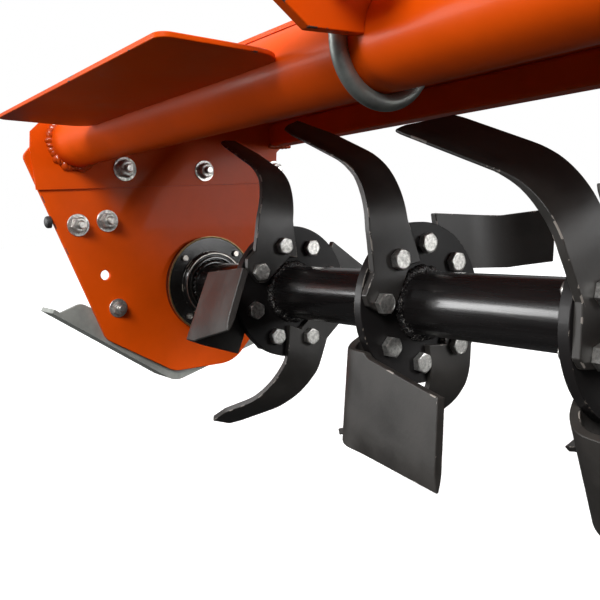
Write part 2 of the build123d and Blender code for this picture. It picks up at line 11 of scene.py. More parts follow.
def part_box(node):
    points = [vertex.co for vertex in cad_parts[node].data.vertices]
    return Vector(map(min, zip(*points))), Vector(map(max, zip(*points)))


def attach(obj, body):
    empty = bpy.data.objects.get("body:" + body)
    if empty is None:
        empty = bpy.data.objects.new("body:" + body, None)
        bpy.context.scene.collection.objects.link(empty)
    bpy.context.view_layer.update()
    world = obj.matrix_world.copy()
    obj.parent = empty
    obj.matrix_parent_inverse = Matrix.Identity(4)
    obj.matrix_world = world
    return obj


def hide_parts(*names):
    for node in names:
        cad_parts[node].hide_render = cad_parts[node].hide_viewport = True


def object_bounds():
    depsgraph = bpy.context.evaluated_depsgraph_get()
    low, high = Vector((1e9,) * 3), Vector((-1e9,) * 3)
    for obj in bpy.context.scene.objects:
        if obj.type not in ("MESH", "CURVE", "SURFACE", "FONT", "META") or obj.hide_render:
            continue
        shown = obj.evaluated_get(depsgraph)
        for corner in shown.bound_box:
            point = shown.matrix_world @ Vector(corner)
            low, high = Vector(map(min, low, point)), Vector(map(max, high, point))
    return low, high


bl_info = {
    "name": "Rotary tiller finish",
    "version": (1, 0, 0),
    "blender": (4, 5, 0),
    "location": "3D View > Sidebar > Tiller",
    "description": "Paint, bolts, welds and studio for the packed rotary tiller",
    "category": "Object",
}

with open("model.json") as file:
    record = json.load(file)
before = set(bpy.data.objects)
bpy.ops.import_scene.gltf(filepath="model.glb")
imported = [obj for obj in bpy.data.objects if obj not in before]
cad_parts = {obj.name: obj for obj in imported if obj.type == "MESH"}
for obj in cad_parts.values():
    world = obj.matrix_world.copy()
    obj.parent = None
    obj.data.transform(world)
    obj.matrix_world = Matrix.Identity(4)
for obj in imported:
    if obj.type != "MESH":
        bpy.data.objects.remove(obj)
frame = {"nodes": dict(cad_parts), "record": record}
CAD_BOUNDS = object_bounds()

# ------------------------------------------------------------------ places from the frame
MM = 0.001
X, Z = 0, 2


def extent(cad_node, axis):
    """Size of a CAD node's box along an axis, in millimetres."""
    low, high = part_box(cad_node)
    return (high[axis] - low[axis]) / MM


SHAFT_LOW, SHAFT_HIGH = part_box("rotor_shaft")
AXIS_Y = (SHAFT_LOW.y + SHAFT_HIGH.y) / 2
AXIS_Z = (SHAFT_LOW.z + SHAFT_HIGH.z) / 2
LEFT_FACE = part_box("side_plate_left")[1].x
RIGHT_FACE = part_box("side_plate_right")[0].x
MIDDLE_X = (LEFT_FACE + RIGHT_FACE) / 2
HALF = (RIGHT_FACE - LEFT_FACE) / 2 / MM
TUBE_R = extent("main_tube", Z) / 2
DISCS = [n for n in sorted(frame["nodes"]) if n.startswith("blade_disc_")]
DISC_X = [(sum(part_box(n), Vector()).x / 2 - MIDDLE_X) / MM for n in DISCS]
DISC_T = extent(DISCS[0], X)
ROTOR_R = extent("rotor_shaft", Z) / 2


def at(x, y, z):
    """World place of a point in millimetres from the rotor's axis, midway between the plates."""
    return Vector((MIDDLE_X + x * MM, AXIS_Y + y * MM, AXIS_Z + z * MM))


def local(point):
    """The millimetres that at() would take for a world point."""
    return Vector(((point.x - MIDDLE_X) / MM, (point.y - AXIS_Y) / MM, (point.z - AXIS_Z) / MM))


def ends(cad_node):
    """Low and high corner of a CAD node's box, in at()'s millimetres."""
    return [local(corner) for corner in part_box(cad_node)]


def middle(cad_node):
    """Middle of a CAD node's box, in at()'s millimetres."""
    low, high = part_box(cad_node)
    return local((low + high) / 2)


def circle(x, y, z, radius, degrees, size):
    """Fastener places (x, y, z, size) round a circle across the machine."""
    return [(x, y + radius * math.cos(t), z + radius * math.sin(t), size)
            for t in map(math.radians, degrees)]


# ------------------------------------------------------------------ settings
def colour(name, description, default):
    return FloatVectorProperty(
        name=name, description=description, subtype="COLOR", size=3, min=0, max=1, default=default)


class TillerPaint(bpy.types.PropertyGroup):
    orange: colour("Orange", "Colour of the frame's paint", (0.80, 0.088, 0.002))
    black: colour("Rotor black", "Colour of the rotor's paint", (0.010, 0.009, 0.009))
    blade: colour("Blade grey", "Colour of the blades' dip coat", (0.030, 0.0275, 0.025))
    zinc: colour("Zinc", "Colour of plated bolts", (0.86, 0.85, 0.81))


class TillerSizes(bpy.types.PropertyGroup):
    bolt_flats: FloatProperty(
        name="Blade bolt", description="Width across flats of a blade bolt",
        default=0.022, unit="LENGTH")
    bolt_circle: FloatProperty(
        name="Bolt circle", description="Radius of the blade bolts on their disc",
        default=0.071, unit="LENGTH")
    bolt_spread: FloatProperty(
        name="Bolt spread", description="Angle from a blade's middle to each of its bolts",
        default=math.radians(22.3), subtype="ANGLE")
    first_root: FloatProperty(
        name="First root", description="Angle of the first disc's first blade",
        default=math.radians(128), subtype="ANGLE")
    root_step: FloatProperty(
        name="Helix step", description="Turn from one disc to the next",
        default=math.radians(23), subtype="ANGLE")
    blade_thickness: FloatProperty(
        name="Blade thickness", description="Thickness of a blade at its root",
        default=0.009, unit="LENGTH")
    weld: FloatProperty(
        name="Weld leg", description="Size of a weld bead", default=0.006, unit="LENGTH")
    edge: FloatProperty(
        name="Edge rounding", description="Rounding of sheet edges", default=0.0012, unit="LENGTH")


class TillerStage(bpy.types.PropertyGroup):
    floor: colour("Floor", "Colour of the studio floor", (0.93, 0.93, 0.93))
    bounce: FloatProperty(
        name="Bounce", description="Share of the floor's light that reaches the machine",
        default=0.05, subtype="FACTOR", min=0, max=1)
    glow: FloatProperty(
        name="Floor glow", description="Light the floor gives to the camera alone, so it meets the backdrop",
        default=0.42)
    sky: FloatProperty(
        name="Ambient light", description="Strength of the light from overhead", default=0.75)
    key: FloatProperty(name="Key light", description="Power of the main softbox", default=128)


def settings(name):
    return getattr(bpy.context.scene, "tiller_" + name)


# ------------------------------------------------------------------ nodes
MIX_COLOURS = (6, 7)        # a mix node's colour inputs
MIX_RESULT = 2              # and its colour output
RANDOM_FLOAT = 1            # a random value node's output for single numbers


def feed(tree, socket, value):
    """Links a socket to another node's output, or sets its own value."""
    if isinstance(value, bpy.types.NodeSocket):
        tree.links.new(value, socket)
    else:
        socket.default_value = value


def node(tree, kind, feeds=None, **values):
    """New node with its properties set and its inputs, by name or number, fed."""
    made = tree.nodes.new(kind)
    for key, value in values.items():
        setattr(made, key, value)
    for key, value in (feeds or {}).items():
        feed(tree, made.inputs[key], value)
    return made


def math_node(tree, operation, *terms):
    return node(tree, "ShaderNodeMath", dict(enumerate(terms)), operation=operation).outputs[0]


def noise_node(tree, vector, scale, detail=4.0, roughness=0.55):
    return node(tree, "ShaderNodeTexNoise", {
        "Vector": vector, "Scale": scale, "Detail": detail, "Roughness": roughness}).outputs["Fac"]


def band(tree, value, low, high):
    """0 below low, 1 above high, smooth between."""
    return node(tree, "ShaderNodeMapRange", {"Value": value, "From Min": low, "From Max": high},
                interpolation_type="SMOOTHSTEP").outputs["Result"]


def spread(tree, value, low, high):
    """Maps a 0 to 1 value to the span low to high."""
    return node(tree, "ShaderNodeMapRange",
                {"Value": value, "To Min": low, "To Max": high}).outputs["Result"]


def bump(tree, height, strength, distance):
    return node(tree, "ShaderNodeBump", {
        "Strength": strength, "Distance": distance, "Height": height}).outputs["Normal"]


def mix_colour(tree, factor, a, b):
    """Mixes two colours, each a tuple or another node's output."""
    made = node(tree, "ShaderNodeMix", {"Factor": factor}, data_type="RGBA")
    for index, value in zip(MIX_COLOURS, (a, b)):
        feed(tree, made.inputs[index], (*value, 1.0) if isinstance(value, tuple) else value)
    return made.outputs[MIX_RESULT]


# ------------------------------------------------------------------ shader groups
def shader_group(name, inputs, outputs):
    """New group: the group, its inputs' values, its outputs' sockets and the object's coordinates."""
    group = bpy.data.node_groups.new(name, "ShaderNodeTree")
    for label, value in inputs:
        socket = group.interface.new_socket(label, in_out="INPUT", socket_type="NodeSocketFloat")
        socket.default_value = value
    for label in outputs:
        group.interface.new_socket(label, in_out="OUTPUT", socket_type="NodeSocketFloat")
    put = group.nodes.new("NodeGroupInput").outputs
    out = group.nodes.new("NodeGroupOutput").inputs
    return group, put, out, node(group, "ShaderNodeTexCoord").outputs["Object"]


def make_edge_wear():
    """Bare patches along the rounded edges, broken up by noise."""
    group, put, out, coords = shader_group("edge wear", [("Scale", 60.0), ("Cover", 0.5)], ["Mask"])
    mark = node(group, "ShaderNodeAttribute", attribute_name="edge").outputs["Fac"]
    broken = noise_node(group, coords, put["Scale"], 5.0, 0.65)
    limit = math_node(group, "SUBTRACT", 1.0, put["Cover"])
    patch = math_node(group, "GREATER_THAN", broken, limit)
    feed(group, out["Mask"], math_node(group, "MULTIPLY", patch, mark))
    return group


def make_mottle():
    """Slow blotches and fine grain for colour and roughness."""
    group, put, out, coords = shader_group(
        "mottle", [("Blotch Scale", 9.0), ("Grain Scale", 400.0)], ["Blotch", "Grain", "Mix"])
    blotch = noise_node(group, coords, put["Blotch Scale"], 5.0, 0.6)
    grain = noise_node(group, coords, put["Grain Scale"], 2.0, 0.5)
    feed(group, out["Blotch"], band(group, blotch, 0.3, 0.7))
    feed(group, out["Grain"], grain)
    feed(group, out["Mix"], math_node(group, "MULTIPLY", blotch, grain))
    return group


def make_streaks():
    """Long streaks along the rotor, as a brushed coat leaves them."""
    group, put, out, coords = shader_group("streaks", [("Scale", 12.0)], ["Streak"])
    stretch = node(group, "ShaderNodeMapping", {"Scale": (0.5, 9.0, 9.0), "Vector": coords})
    feed(group, out["Streak"], noise_node(group, stretch.outputs["Vector"], put["Scale"], 4.0, 0.6))
    return group


def make_dust():
    """Fine dust that settles on faces that look up."""
    group, put, out, coords = shader_group("dust", [("Amount", 0.3), ("Scale", 25.0)], ["Mask"])
    facing = node(group, "ShaderNodeNewGeometry").outputs["Normal"]
    up = band(group, node(group, "ShaderNodeSeparateXYZ", {0: facing}).outputs["Z"], 0.3, 1.0)
    cloud = band(group, noise_node(group, coords, put["Scale"], 5.0, 0.6), 0.35, 0.75)
    lying = math_node(group, "MULTIPLY", up, cloud)
    feed(group, out["Mask"], math_node(group, "MULTIPLY", lying, put["Amount"]))
    return group


GROUP_MAKERS = {
    "edge wear": make_edge_wear, "mottle": make_mottle, "streaks": make_streaks, "dust": make_dust}
GROUPS = {}


def use_group(tree, key, **values):
    """Places a shared shader group in a material with its own values; returns its outputs."""
    if key not in GROUPS:
        GROUPS[key] = GROUP_MAKERS[key]()
    placed = node(tree, "ShaderNodeGroup", node_tree=GROUPS[key])
    for label, value in values.items():
        placed.inputs[label.replace("_", " ")].default_value = value
    return placed.outputs


# ------------------------------------------------------------------ materials
MATERIALS = {}


def scaled(colour, factor):
    return tuple(min(1.0, c * factor) for c in colour)


def new_tree(name):
    """Node tree of a new material that is kept by name."""
    material = bpy.data.materials.new(name)
    material.use_nodes = True
    MATERIALS[name] = material
    return material.node_tree


def surface(tree, colour, rough, **inputs):
    """Feeds the inputs of a material's shader."""
    shader = tree.nodes["Principled BSDF"]
    for label, value in {"Base Color": colour, "Roughness": rough, **inputs}.items():
        feed(tree, shader.inputs[label.replace("_", " ")], value)


def painted(name, colour, shade, gloss, peel, wear, dust, coat, bare=(0.10, 0.085, 0.075), sheen=0.5):
    """Sprayed paint: slow colour drift, orange peel, chips on the edges and a little dust."""
    tree = new_tree(name)
    mottle = use_group(tree, "mottle", Blotch_Scale=7.0, Grain_Scale=260.0)
    chips = use_group(tree, "edge wear", Scale=55.0, Cover=wear)
    film = use_group(tree, "dust", Amount=dust, Scale=18.0)
    body = mix_colour(tree, mottle["Blotch"], scaled(colour, shade), colour)
    dusty = mix_colour(tree, film["Mask"], body, (0.32, 0.27, 0.22))
    surface(tree, mix_colour(tree, chips["Mask"], dusty, bare),
            spread(tree, mottle["Blotch"], gloss, gloss * 1.5), Coat_Weight=coat,
            Coat_Roughness=0.07, Specular_IOR_Level=sheen,
            Normal=bump(tree, mottle["Grain"], peel, 0.0004))


def metal(name, colour, dark, rough, scale, metallic=0.9, wear=0.0):
    """Plated or cast metal with a mottled surface."""
    tree = new_tree(name)
    mottle = use_group(tree, "mottle", Blotch_Scale=scale, Grain_Scale=scale * 6)
    chips = use_group(tree, "edge wear", Scale=80.0, Cover=wear)
    body = mix_colour(tree, mottle["Blotch"], dark, colour)
    surface(tree, mix_colour(tree, chips["Mask"], body, (0.55, 0.52, 0.48)),
            spread(tree, mottle["Blotch"], rough * 1.35, rough), Metallic=metallic,
            Normal=bump(tree, mottle["Grain"], 0.25, 0.0003))


def make_materials():
    paint = settings("paint")
    orange, black, blade, zinc = (tuple(getattr(paint, k)) for k in ("orange", "black", "blade", "zinc"))
    painted("orange paint", orange, 0.84, 0.30, 0.10, 0.40, 0.02, 0.03, sheen=0.10)
    painted("orange weld", scaled(orange, 0.8), 0.6, 0.22, 0.4, 0.0, 0.04, 0.3)
    painted("black paint", black, 1.6, 0.24, 0.12, 0.42, 0.03, 0.25, (0.16, 0.14, 0.12))
    painted("cast black", (0.020, 0.018, 0.017), 0.7, 0.42, 0.6, 0.45, 0.12, 0.0)
    painted("disc black", black, 1.5, 0.34, 0.12, 0.42, 0.03, 0.05, (0.16, 0.14, 0.12), sheen=0.25)
    metal("zinc bolts", zinc, scaled(zinc, 0.50), 0.30, 260.0)
    metal("clamp zinc", (0.33, 0.36, 0.34), (0.20, 0.22, 0.21), 0.42, 40.0, 0.75, 0.3)
    metal("skid grey", (0.42, 0.44, 0.41), (0.30, 0.31, 0.29), 0.5, 30.0, 0.35, 0.4)
    metal("machined steel", (0.56, 0.53, 0.49), (0.40, 0.37, 0.34), 0.28, 120.0, 0.95)
    metal("yellow plating", (0.62, 0.46, 0.20), (0.36, 0.28, 0.16), 0.3, 180.0, 0.95)
    painted("bearing black", (0.012, 0.011, 0.010), 0.7, 0.16, 0.15, 0.45, 0.0, 0.4, (0.20, 0.18, 0.15))

    tree = new_tree("rotor black")
    streak = use_group(tree, "streaks", Scale=12.0)["Streak"]
    chips = use_group(tree, "edge wear", Scale=70.0, Cover=0.40)
    body = mix_colour(tree, streak, scaled(black, 0.6), scaled(black, 2.0))
    surface(tree, mix_colour(tree, chips["Mask"], body, (0.20, 0.18, 0.16)),
            spread(tree, streak, 0.12, 0.42), Coat_Weight=0.3, Coat_Roughness=0.12,
            Normal=bump(tree, streak, 0.10, 0.002))

    tree = new_tree("blade coat")
    mottle = use_group(tree, "mottle", Blotch_Scale=16.0, Grain_Scale=220.0)
    chips = use_group(tree, "edge wear", Scale=38.0, Cover=0.43)
    film = use_group(tree, "dust", Amount=0.10, Scale=30.0)
    body = mix_colour(tree, mottle["Blotch"], scaled(blade, 0.75), scaled(blade, 1.35))
    dusty = mix_colour(tree, film["Mask"], body, (0.20, 0.17, 0.14))
    surface(tree, mix_colour(tree, chips["Mask"], dusty, (0.30, 0.27, 0.24)),
            spread(tree, mottle["Blotch"], 0.36, 0.48), Normal=bump(tree, mottle["Grain"], 0.18, 0.0005))

    tree = new_tree("weld black")
    mottle = use_group(tree, "mottle", Blotch_Scale=320.0, Grain_Scale=900.0)
    # light grey specks on the black weld: painted glints, not a colour of the weld itself
    glint_speck = band(tree, mottle["Mix"], 0.33, 0.38)
    surface(tree, mix_colour(tree, glint_speck, scaled(black, 1.4), (0.5, 0.48, 0.44)),
            spread(tree, mottle["Blotch"], 0.18, 0.4), Normal=bump(tree, mottle["Blotch"], 0.5, 0.001))

    tree = new_tree("guard plastic")
    mottle = use_group(tree, "mottle", Blotch_Scale=20.0, Grain_Scale=500.0)
    surface(tree, mix_colour(tree, mottle["Blotch"], (0.016, 0.016, 0.017), (0.026, 0.026, 0.027)),
            spread(tree, mottle["Grain"], 0.4, 0.6), Normal=bump(tree, mottle["Grain"], 0.3, 0.0004))


# ------------------------------------------------------------------ pieces from the CAD nodes
def link_object(name, mesh):
    made = bpy.data.objects.new(name, mesh)
    bpy.context.scene.collection.objects.link(made)
    return made


def finish_piece(piece, material, body):
    piece.data.materials.clear()
    piece.data.materials.append(MATERIALS[material])
    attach(piece, body)
    return piece


def evaluated_mesh(piece):
    """A new plain mesh with the piece's modifiers worked in."""
    depsgraph = bpy.context.evaluated_depsgraph_get()
    return bpy.data.meshes.new_from_object(piece.evaluated_get(depsgraph))


def plain(piece):
    """The piece made anew from its evaluated mesh."""
    piece.update_tag()
    mesh = evaluated_mesh(piece)
    name = piece.name
    bpy.data.objects.remove(piece)
    return link_object(name, mesh)


def dress(cad_node, edge, material):
    """Copies a CAD node, joins its facets, rounds its edges and marks them for wear."""
    source = frame["nodes"][cad_node]
    mesh = source.data.copy()
    mesh.materials.clear()
    work = bmesh.new()
    work.from_mesh(mesh)
    bmesh.ops.remove_doubles(work, verts=work.verts, dist=2e-5)
    bmesh.ops.dissolve_limit(
        work, angle_limit=math.radians(0.8), verts=work.verts, edges=work.edges)
    for face in work.faces:
        face.smooth = True
    work.to_mesh(mesh)
    work.free()
    replacement(link_object(cad_node + "_finish", mesh), cad_node, edge, material)


def replacement(piece, cad_node, edge, material, sharp=28.0):
    """Rounds and marks the edges of a piece that stands for a CAD node."""
    mesh = piece.data
    for _ in range(2):
        mesh.materials.append(MATERIALS[material])
    mesh.set_sharp_from_angle(angle=math.radians(sharp))
    bevel = piece.modifiers.new("rounded", "BEVEL")
    bevel.width = edge
    bevel.segments = 2
    bevel.limit_method = "ANGLE"
    bevel.angle_limit = math.radians(sharp)
    bevel.harden_normals = True
    bevel.material = 1
    bevel.use_clamp_overlap = True
    rounded = evaluated_mesh(piece)
    piece.modifiers.clear()
    piece.data = rounded
    bpy.data.meshes.remove(mesh)
    mark = rounded.attributes.new("edge", "FLOAT", "FACE")
    mark.data.foreach_set("value", [float(p.material_index == 1) for p in rounded.polygons])
    for polygon in rounded.polygons:
        polygon.material_index = 0
    body = next(b for b, members in frame["record"]["behaviour"]["bodies"].items() if cad_node in members)
    finish_piece(piece, material, body)
    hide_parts(cad_node)


# ------------------------------------------------------------------ template meshes
def stitch(work, low, high):
    """Quads between two rings of as many vertices."""
    for i in range(len(low)):
        j = (i + 1) % len(low)
        work.faces.new((low[i], low[j], high[j], high[i]))


def smooth_mesh(work, name):
    """Plain smooth mesh from closed surfaces in a bmesh, which it frees."""
    bmesh.ops.recalc_face_normals(work, faces=work.faces)
    for face in work.faces:
        face.smooth = True
    mesh = bpy.data.meshes.new(name)
    work.to_mesh(mesh)
    work.free()
    return mesh


def value_at(value, angle):
    """A number, or what a function gives for that angle."""
    return value(angle) if callable(value) else value


def revolve_rows(rows, sides, hollow=False):
    """Mesh from rows of (radius, height) round +X, capped, or with its last row joined to its first."""
    work = bmesh.new()
    rings = []
    for radius, height in rows:
        ring = []
        for i in range(sides):
            angle = 2 * math.pi * i / sides
            r = value_at(radius, angle)
            ring.append(work.verts.new((value_at(height, angle), r * math.cos(angle), r * math.sin(angle))))
        rings.append(ring)
    for low, high in zip(rings, rings[1:]):
        stitch(work, low, high)
    if hollow:
        stitch(work, rings[-1], rings[0])
    else:
        work.faces.new(rings[-1])
        work.faces.new(list(reversed(rings[0])))
    mesh = smooth_mesh(work, "template")
    mesh.set_sharp_from_angle(angle=math.radians(32))
    return mesh


def toothed(radius, depth, teeth):
    """Radius of a round nut with square notches, for an angle."""
    tooth = 0.62    # share of a step that stands

    def outline(angle):
        return radius - depth * (angle * teeth / (2 * math.pi) % 1 > tooth)

    return outline


def hexagon(flats):
    """Radius of a hexagon with that width across flats, for an angle."""
    def radius(angle):
        turned = angle % (math.pi / 3) - math.pi / 6
        return flats / 2 / math.cos(turned)
    return radius


def hex_sides(flats, top):
    """A hexagon's radius and the height of its turned-down corners, for an angle, and its crown."""
    outline = hexagon(flats)
    crown = flats / 2 * 0.95
    slope = 0.58    # of the turned-down corners

    def shoulder(angle):
        return top - (outline(angle) - crown) * slope

    return outline, shoulder, crown


def hex_head(flats, height):
    """Bolt head: a washer face under a hexagon with turned-down corners."""
    outline, shoulder, crown = hex_sides(flats, height)
    return [
        (flats * 0.47, 0.0), (flats * 0.47, height * 0.06),
        (lambda a: outline(a) * 0.995, height * 0.06), (outline, height * 0.10),
        (outline, shoulder), (crown, height), (crown * 0.93, height),
        (crown * 0.90, height - flats * 0.012),
    ]


def lock_nut(flats, height, thread):
    """Nut with a rounded collar on top and the bolt's end standing out of it."""
    body = height * 0.68
    outline, shoulder, crown = hex_sides(flats, body)
    return [
        (flats * 0.47, 0.0), (lambda a: outline(a) * 0.99, 0.0), (outline, height * 0.05),
        (outline, shoulder), (crown, body), (flats * 0.43, body), (flats * 0.43, height * 0.90),
        (flats * 0.40, height), (flats * 0.31, height), (flats * 0.29, height * 0.92),
        (thread, height * 0.92), (thread, height * 1.12), (thread * 0.85, height * 1.2),
    ]


def flange_nut(flats, height, thread):
    """Nut with a wide foot and the stud's end standing out of it."""
    outline, shoulder, crown = hex_sides(flats, height)
    return [
        (flats * 0.80, 0.0), (flats * 0.80, height * 0.13), (flats * 0.78, height * 0.16),
        (flats * 0.60, height * 0.16), (outline, height * 0.18), (outline, shoulder),
        (crown, height), (flats * 0.34, height), (thread, height * 0.96),
        (thread, height * 1.55), (thread * 0.82, height * 1.65),
    ]


SIDES = 36                  # corners of a fastener's rings
COVER_SIDES = 96
FASTENERS = {               # one unit across flats, for fasteners()
    "bolt": hex_head(1.0, 0.42),
    "screw": hex_head(1.0, 0.5),
    "plate nut": flange_nut(1.0, 0.62, 0.27),
    "nut": flange_nut(1.0, 0.66, 0.30),
    "pin": lock_nut(1.0, 0.8, 0.30),
    "plug": [(0.62, 0.0), (0.62, 0.10), (hexagon(1.0), 0.12), (hexagon(1.0), 0.42), (0.46, 0.50),
             (0.30, 0.50), (0.30, 0.80), (0.36, 0.84), (0.36, 1.02), (0.26, 1.12)],
    "bumper": [(0.62, -0.2), (0.62, 0.12), (0.56, 0.26), (0.40, 0.36), (0.20, 0.40)],
    "cover": [(1.0, 0.0), (1.0, 0.012), (0.96, 0.022), (0.90, 0.022)],
}


# ------------------------------------------------------------------ geometry node trees
def geometry_tree(name, inputs):
    """New tree whose inputs are (label, kind, default); the tree, its inputs' values and its end."""
    tree = bpy.data.node_groups.new(name, "GeometryNodeTree")
    tree.interface.new_socket("Geometry", in_out="INPUT", socket_type="NodeSocketGeometry")
    for label, kind, default in inputs:
        socket = tree.interface.new_socket(label, in_out="INPUT", socket_type="NodeSocket" + kind)
        if default is not None:
            socket.default_value = default
    tree.interface.new_socket("Geometry", in_out="OUTPUT", socket_type="NodeSocketGeometry")
    put = tree.nodes.new("NodeGroupInput").outputs
    return tree, put, tree.nodes.new("NodeGroupOutput").inputs[0]


def combine(tree, x, y, z):
    return node(tree, "ShaderNodeCombineXYZ", {0: x, 1: y, 2: z}).outputs[0]


def scattered(tree, end, points, instance, rotation, scale, material):
    """Ends a tree with instances on its points, made real and painted."""
    placed = node(tree, "GeometryNodeInstanceOnPoints", {
        "Points": points, "Instance": instance, "Rotation": rotation, "Scale": scale})
    real = node(tree, "GeometryNodeRealizeInstances", {0: placed.outputs[0]})
    paint = node(tree, "GeometryNodeSetMaterial", {"Geometry": real.outputs[0], "Material": material})
    feed(tree, end, paint.outputs[0])


def template_of(tree, source):
    return node(tree, "GeometryNodeObjectInfo", {"As Instance": True, "Object": source}).outputs["Geometry"]


def random_turn(tree, seed, most):
    """A turn of its own for every point, from 0 up to the most."""
    drawn = node(tree, "FunctionNodeRandomValue", {"Seed": seed}, data_type="FLOAT")
    return math_node(tree, "MULTIPLY", drawn.outputs[RANDOM_FLOAT], most)


def blade_bolt_tree():
    """Two bolts a blade, four blades a disc, each disc turned on in a helix."""
    tree, put, end = geometry_tree("blade bolts", [
        ("Template", "Object", None), ("Material", "Material", None),
        ("Discs", "Int", 4), ("First Disc", "Float", 0.0), ("Pitch", "Float", 0.25),
        ("Circle", "Float", 0.07), ("Spread", "Float", 0.38), ("First Root", "Float", 2.2),
        ("Step", "Float", 0.4), ("Outer Stand", "Float", 0.015), ("Inner Stand", "Float", 0.006),
        ("Side", "Float", 1.0), ("Seed", "Int", 3)])

    def calc(operation, *terms):
        return math_node(tree, operation, *terms)

    points = node(tree, "GeometryNodePoints", {"Count": calc("MULTIPLY", put["Discs"], 8)})
    index = node(tree, "GeometryNodeInputIndex").outputs[0]
    disc = calc("FLOOR", calc("DIVIDE", index, 8))
    on_disc = calc("SUBTRACT", index, calc("MULTIPLY", disc, 8))
    blade = calc("FLOOR", calc("DIVIDE", on_disc, 2))
    which = calc("SUBTRACT", on_disc, calc("MULTIPLY", blade, 2))
    sway = calc("MULTIPLY", calc("MULTIPLY_ADD", which, 2, -1), put["Spread"])
    turn = calc("MULTIPLY_ADD", blade, math.pi / 2, sway)
    helix = calc("MULTIPLY_ADD", disc, put["Step"], put["First Root"])
    angle = calc("ADD", turn, helix)
    # bolts stand further out on the side where their blade lies
    gap = calc("SUBTRACT", put["Inner Stand"], put["Outer Stand"])
    stand = calc("MULTIPLY_ADD", calc("MODULO", blade, 2), gap, put["Outer Stand"])
    disc_x = calc("MULTIPLY_ADD", disc, put["Pitch"], put["First Disc"])
    x = calc("ADD", disc_x, calc("MULTIPLY", stand, put["Side"]))
    y = calc("MULTIPLY", calc("COSINE", angle), put["Circle"])
    z = calc("MULTIPLY", calc("SINE", angle), put["Circle"])
    move = node(tree, "GeometryNodeSetPosition", {
        "Geometry": points.outputs[0], "Position": combine(tree, x, y, z)})
    facing = calc("MULTIPLY", calc("MULTIPLY_ADD", put["Side"], -0.5, 0.5), math.pi)
    rotation = combine(tree, random_turn(tree, put["Seed"], math.pi), 0.0, facing)
    scattered(tree, end, move.outputs[0], template_of(tree, put["Template"]), rotation, (1, 1, 1),
              put["Material"])
    return tree


def point_tree():
    """A template on each vertex of the piece, turned to face one way, each with its own spin."""
    tree, put, end = geometry_tree("fasteners on points", [
        ("Template", "Object", None), ("Material", "Material", None),
        ("Facing", "Vector", (0, 0, 0)), ("Spin", "Float", math.pi), ("Seed", "Int", 5)])
    size = node(tree, "GeometryNodeInputNamedAttribute", {"Name": "size"}, data_type="FLOAT").outputs[0]
    turned = combine(tree, random_turn(tree, put["Seed"], put["Spin"]), 0.0, 0.0)
    own = node(tree, "FunctionNodeEulerToRotation", {0: turned})
    way = node(tree, "FunctionNodeEulerToRotation", {0: put["Facing"]})
    rotate = node(tree, "FunctionNodeRotateRotation", {
        "Rotation": way.outputs[0], "Rotate By": own.outputs[0]}, rotation_space="LOCAL")
    scattered(tree, end, put["Geometry"], template_of(tree, put["Template"]), rotate.outputs[0],
              combine(tree, size, size, size), put["Material"])
    return tree


def bead_tree():
    """A weld: overlapping ripples along the piece's curve, each a little different."""
    tree, put, end = geometry_tree("weld bead", [
        ("Leg", "Float", 0.006), ("Step", "Float", 0.004), ("Rough", "Float", 0.25),
        ("Material", "Material", None), ("Seed", "Int", 7)])
    sample = node(tree, "GeometryNodeResampleCurve", {
        "Curve": put["Geometry"], "Length": put["Step"]}, mode="LENGTH")
    ripple = node(tree, "GeometryNodeMeshIcoSphere", {"Radius": put["Leg"], "Subdivisions": 2})
    smooth = node(tree, "GeometryNodeSetShadeSmooth", {0: ripple.outputs[0]})
    low = math_node(tree, "SUBTRACT", 1.0, put["Rough"])
    high = math_node(tree, "ADD", 1.0, put["Rough"])
    vary = node(tree, "FunctionNodeRandomValue", {
        0: combine(tree, low, low, low), 1: combine(tree, high, high, high), "Seed": put["Seed"]},
        data_type="FLOAT_VECTOR")
    turn = node(tree, "FunctionNodeRandomValue", {1: (3, 3, 3), "Seed": put["Seed"]},
                data_type="FLOAT_VECTOR")
    scattered(tree, end, sample.outputs[0], smooth.outputs[0], turn.outputs[0], vary.outputs[0],
              put["Material"])
    return tree


TREE_MAKERS = {
    "blade bolts": blade_bolt_tree, "fasteners on points": point_tree, "weld bead": bead_tree}
TREES = {}


def run_tree(piece, key, values):
    """Puts a tree on a piece, sets its named inputs, and turns the result into a plain mesh."""
    if key not in TREES:
        TREES[key] = TREE_MAKERS[key]()
    tree = TREES[key]
    modifier = piece.modifiers.new(key, "NODES")
    modifier.node_group = tree
    for item in tree.interface.items_tree:
        if item.in_out == "INPUT" and item.name in values:
            modifier[item.identifier] = values[item.name]
    return plain(piece)


def fasteners(name, shape, places, facing, seed, material="zinc bolts", sides=SIDES):
    """One mesh of like fasteners at (x, y, z, size) places on the frame."""
    template = link_object(name + "_template", revolve_rows(FASTENERS[shape], sides))
    mesh = bpy.data.meshes.new(name)
    mesh.from_pydata([at(x, y, z) for x, y, z, _ in places], [], [])
    sizes = mesh.attributes.new("size", "FLOAT", "POINT")
    sizes.data.foreach_set("value", [size * MM for *_, size in places])
    piece = run_tree(link_object(name, mesh), "fasteners on points", {
        "Template": template, "Material": MATERIALS[material], "Facing": facing,
        "Seed": seed})
    bpy.data.objects.remove(template)
    finish_piece(piece, material, "frame")


def curve_piece(name, paths, closed):
    """A curve with a spline along each list of world points."""
    curve = bpy.data.curves.new(name, "CURVE")
    curve.dimensions = "3D"
    for points in paths:
        spline = curve.splines.new("POLY")
        spline.points.add(len(points) - 1)
        for target, point in zip(spline.points, points):
            target.co = (*point, 1.0)
        spline.use_cyclic_u = closed
        spline.use_smooth = True
    return link_object(name, curve)


def weld(name, paths, material, body, slot, leg, rough=0.28, closed=True):
    """One mesh of weld beads along lists of world points."""
    piece = run_tree(curve_piece(name, paths, closed), "weld bead", {
        "Leg": leg, "Step": leg * 0.55, "Rough": rough, "Material": MATERIALS[material],
        "Seed": len(name)})
    finish_piece(piece, material, body)


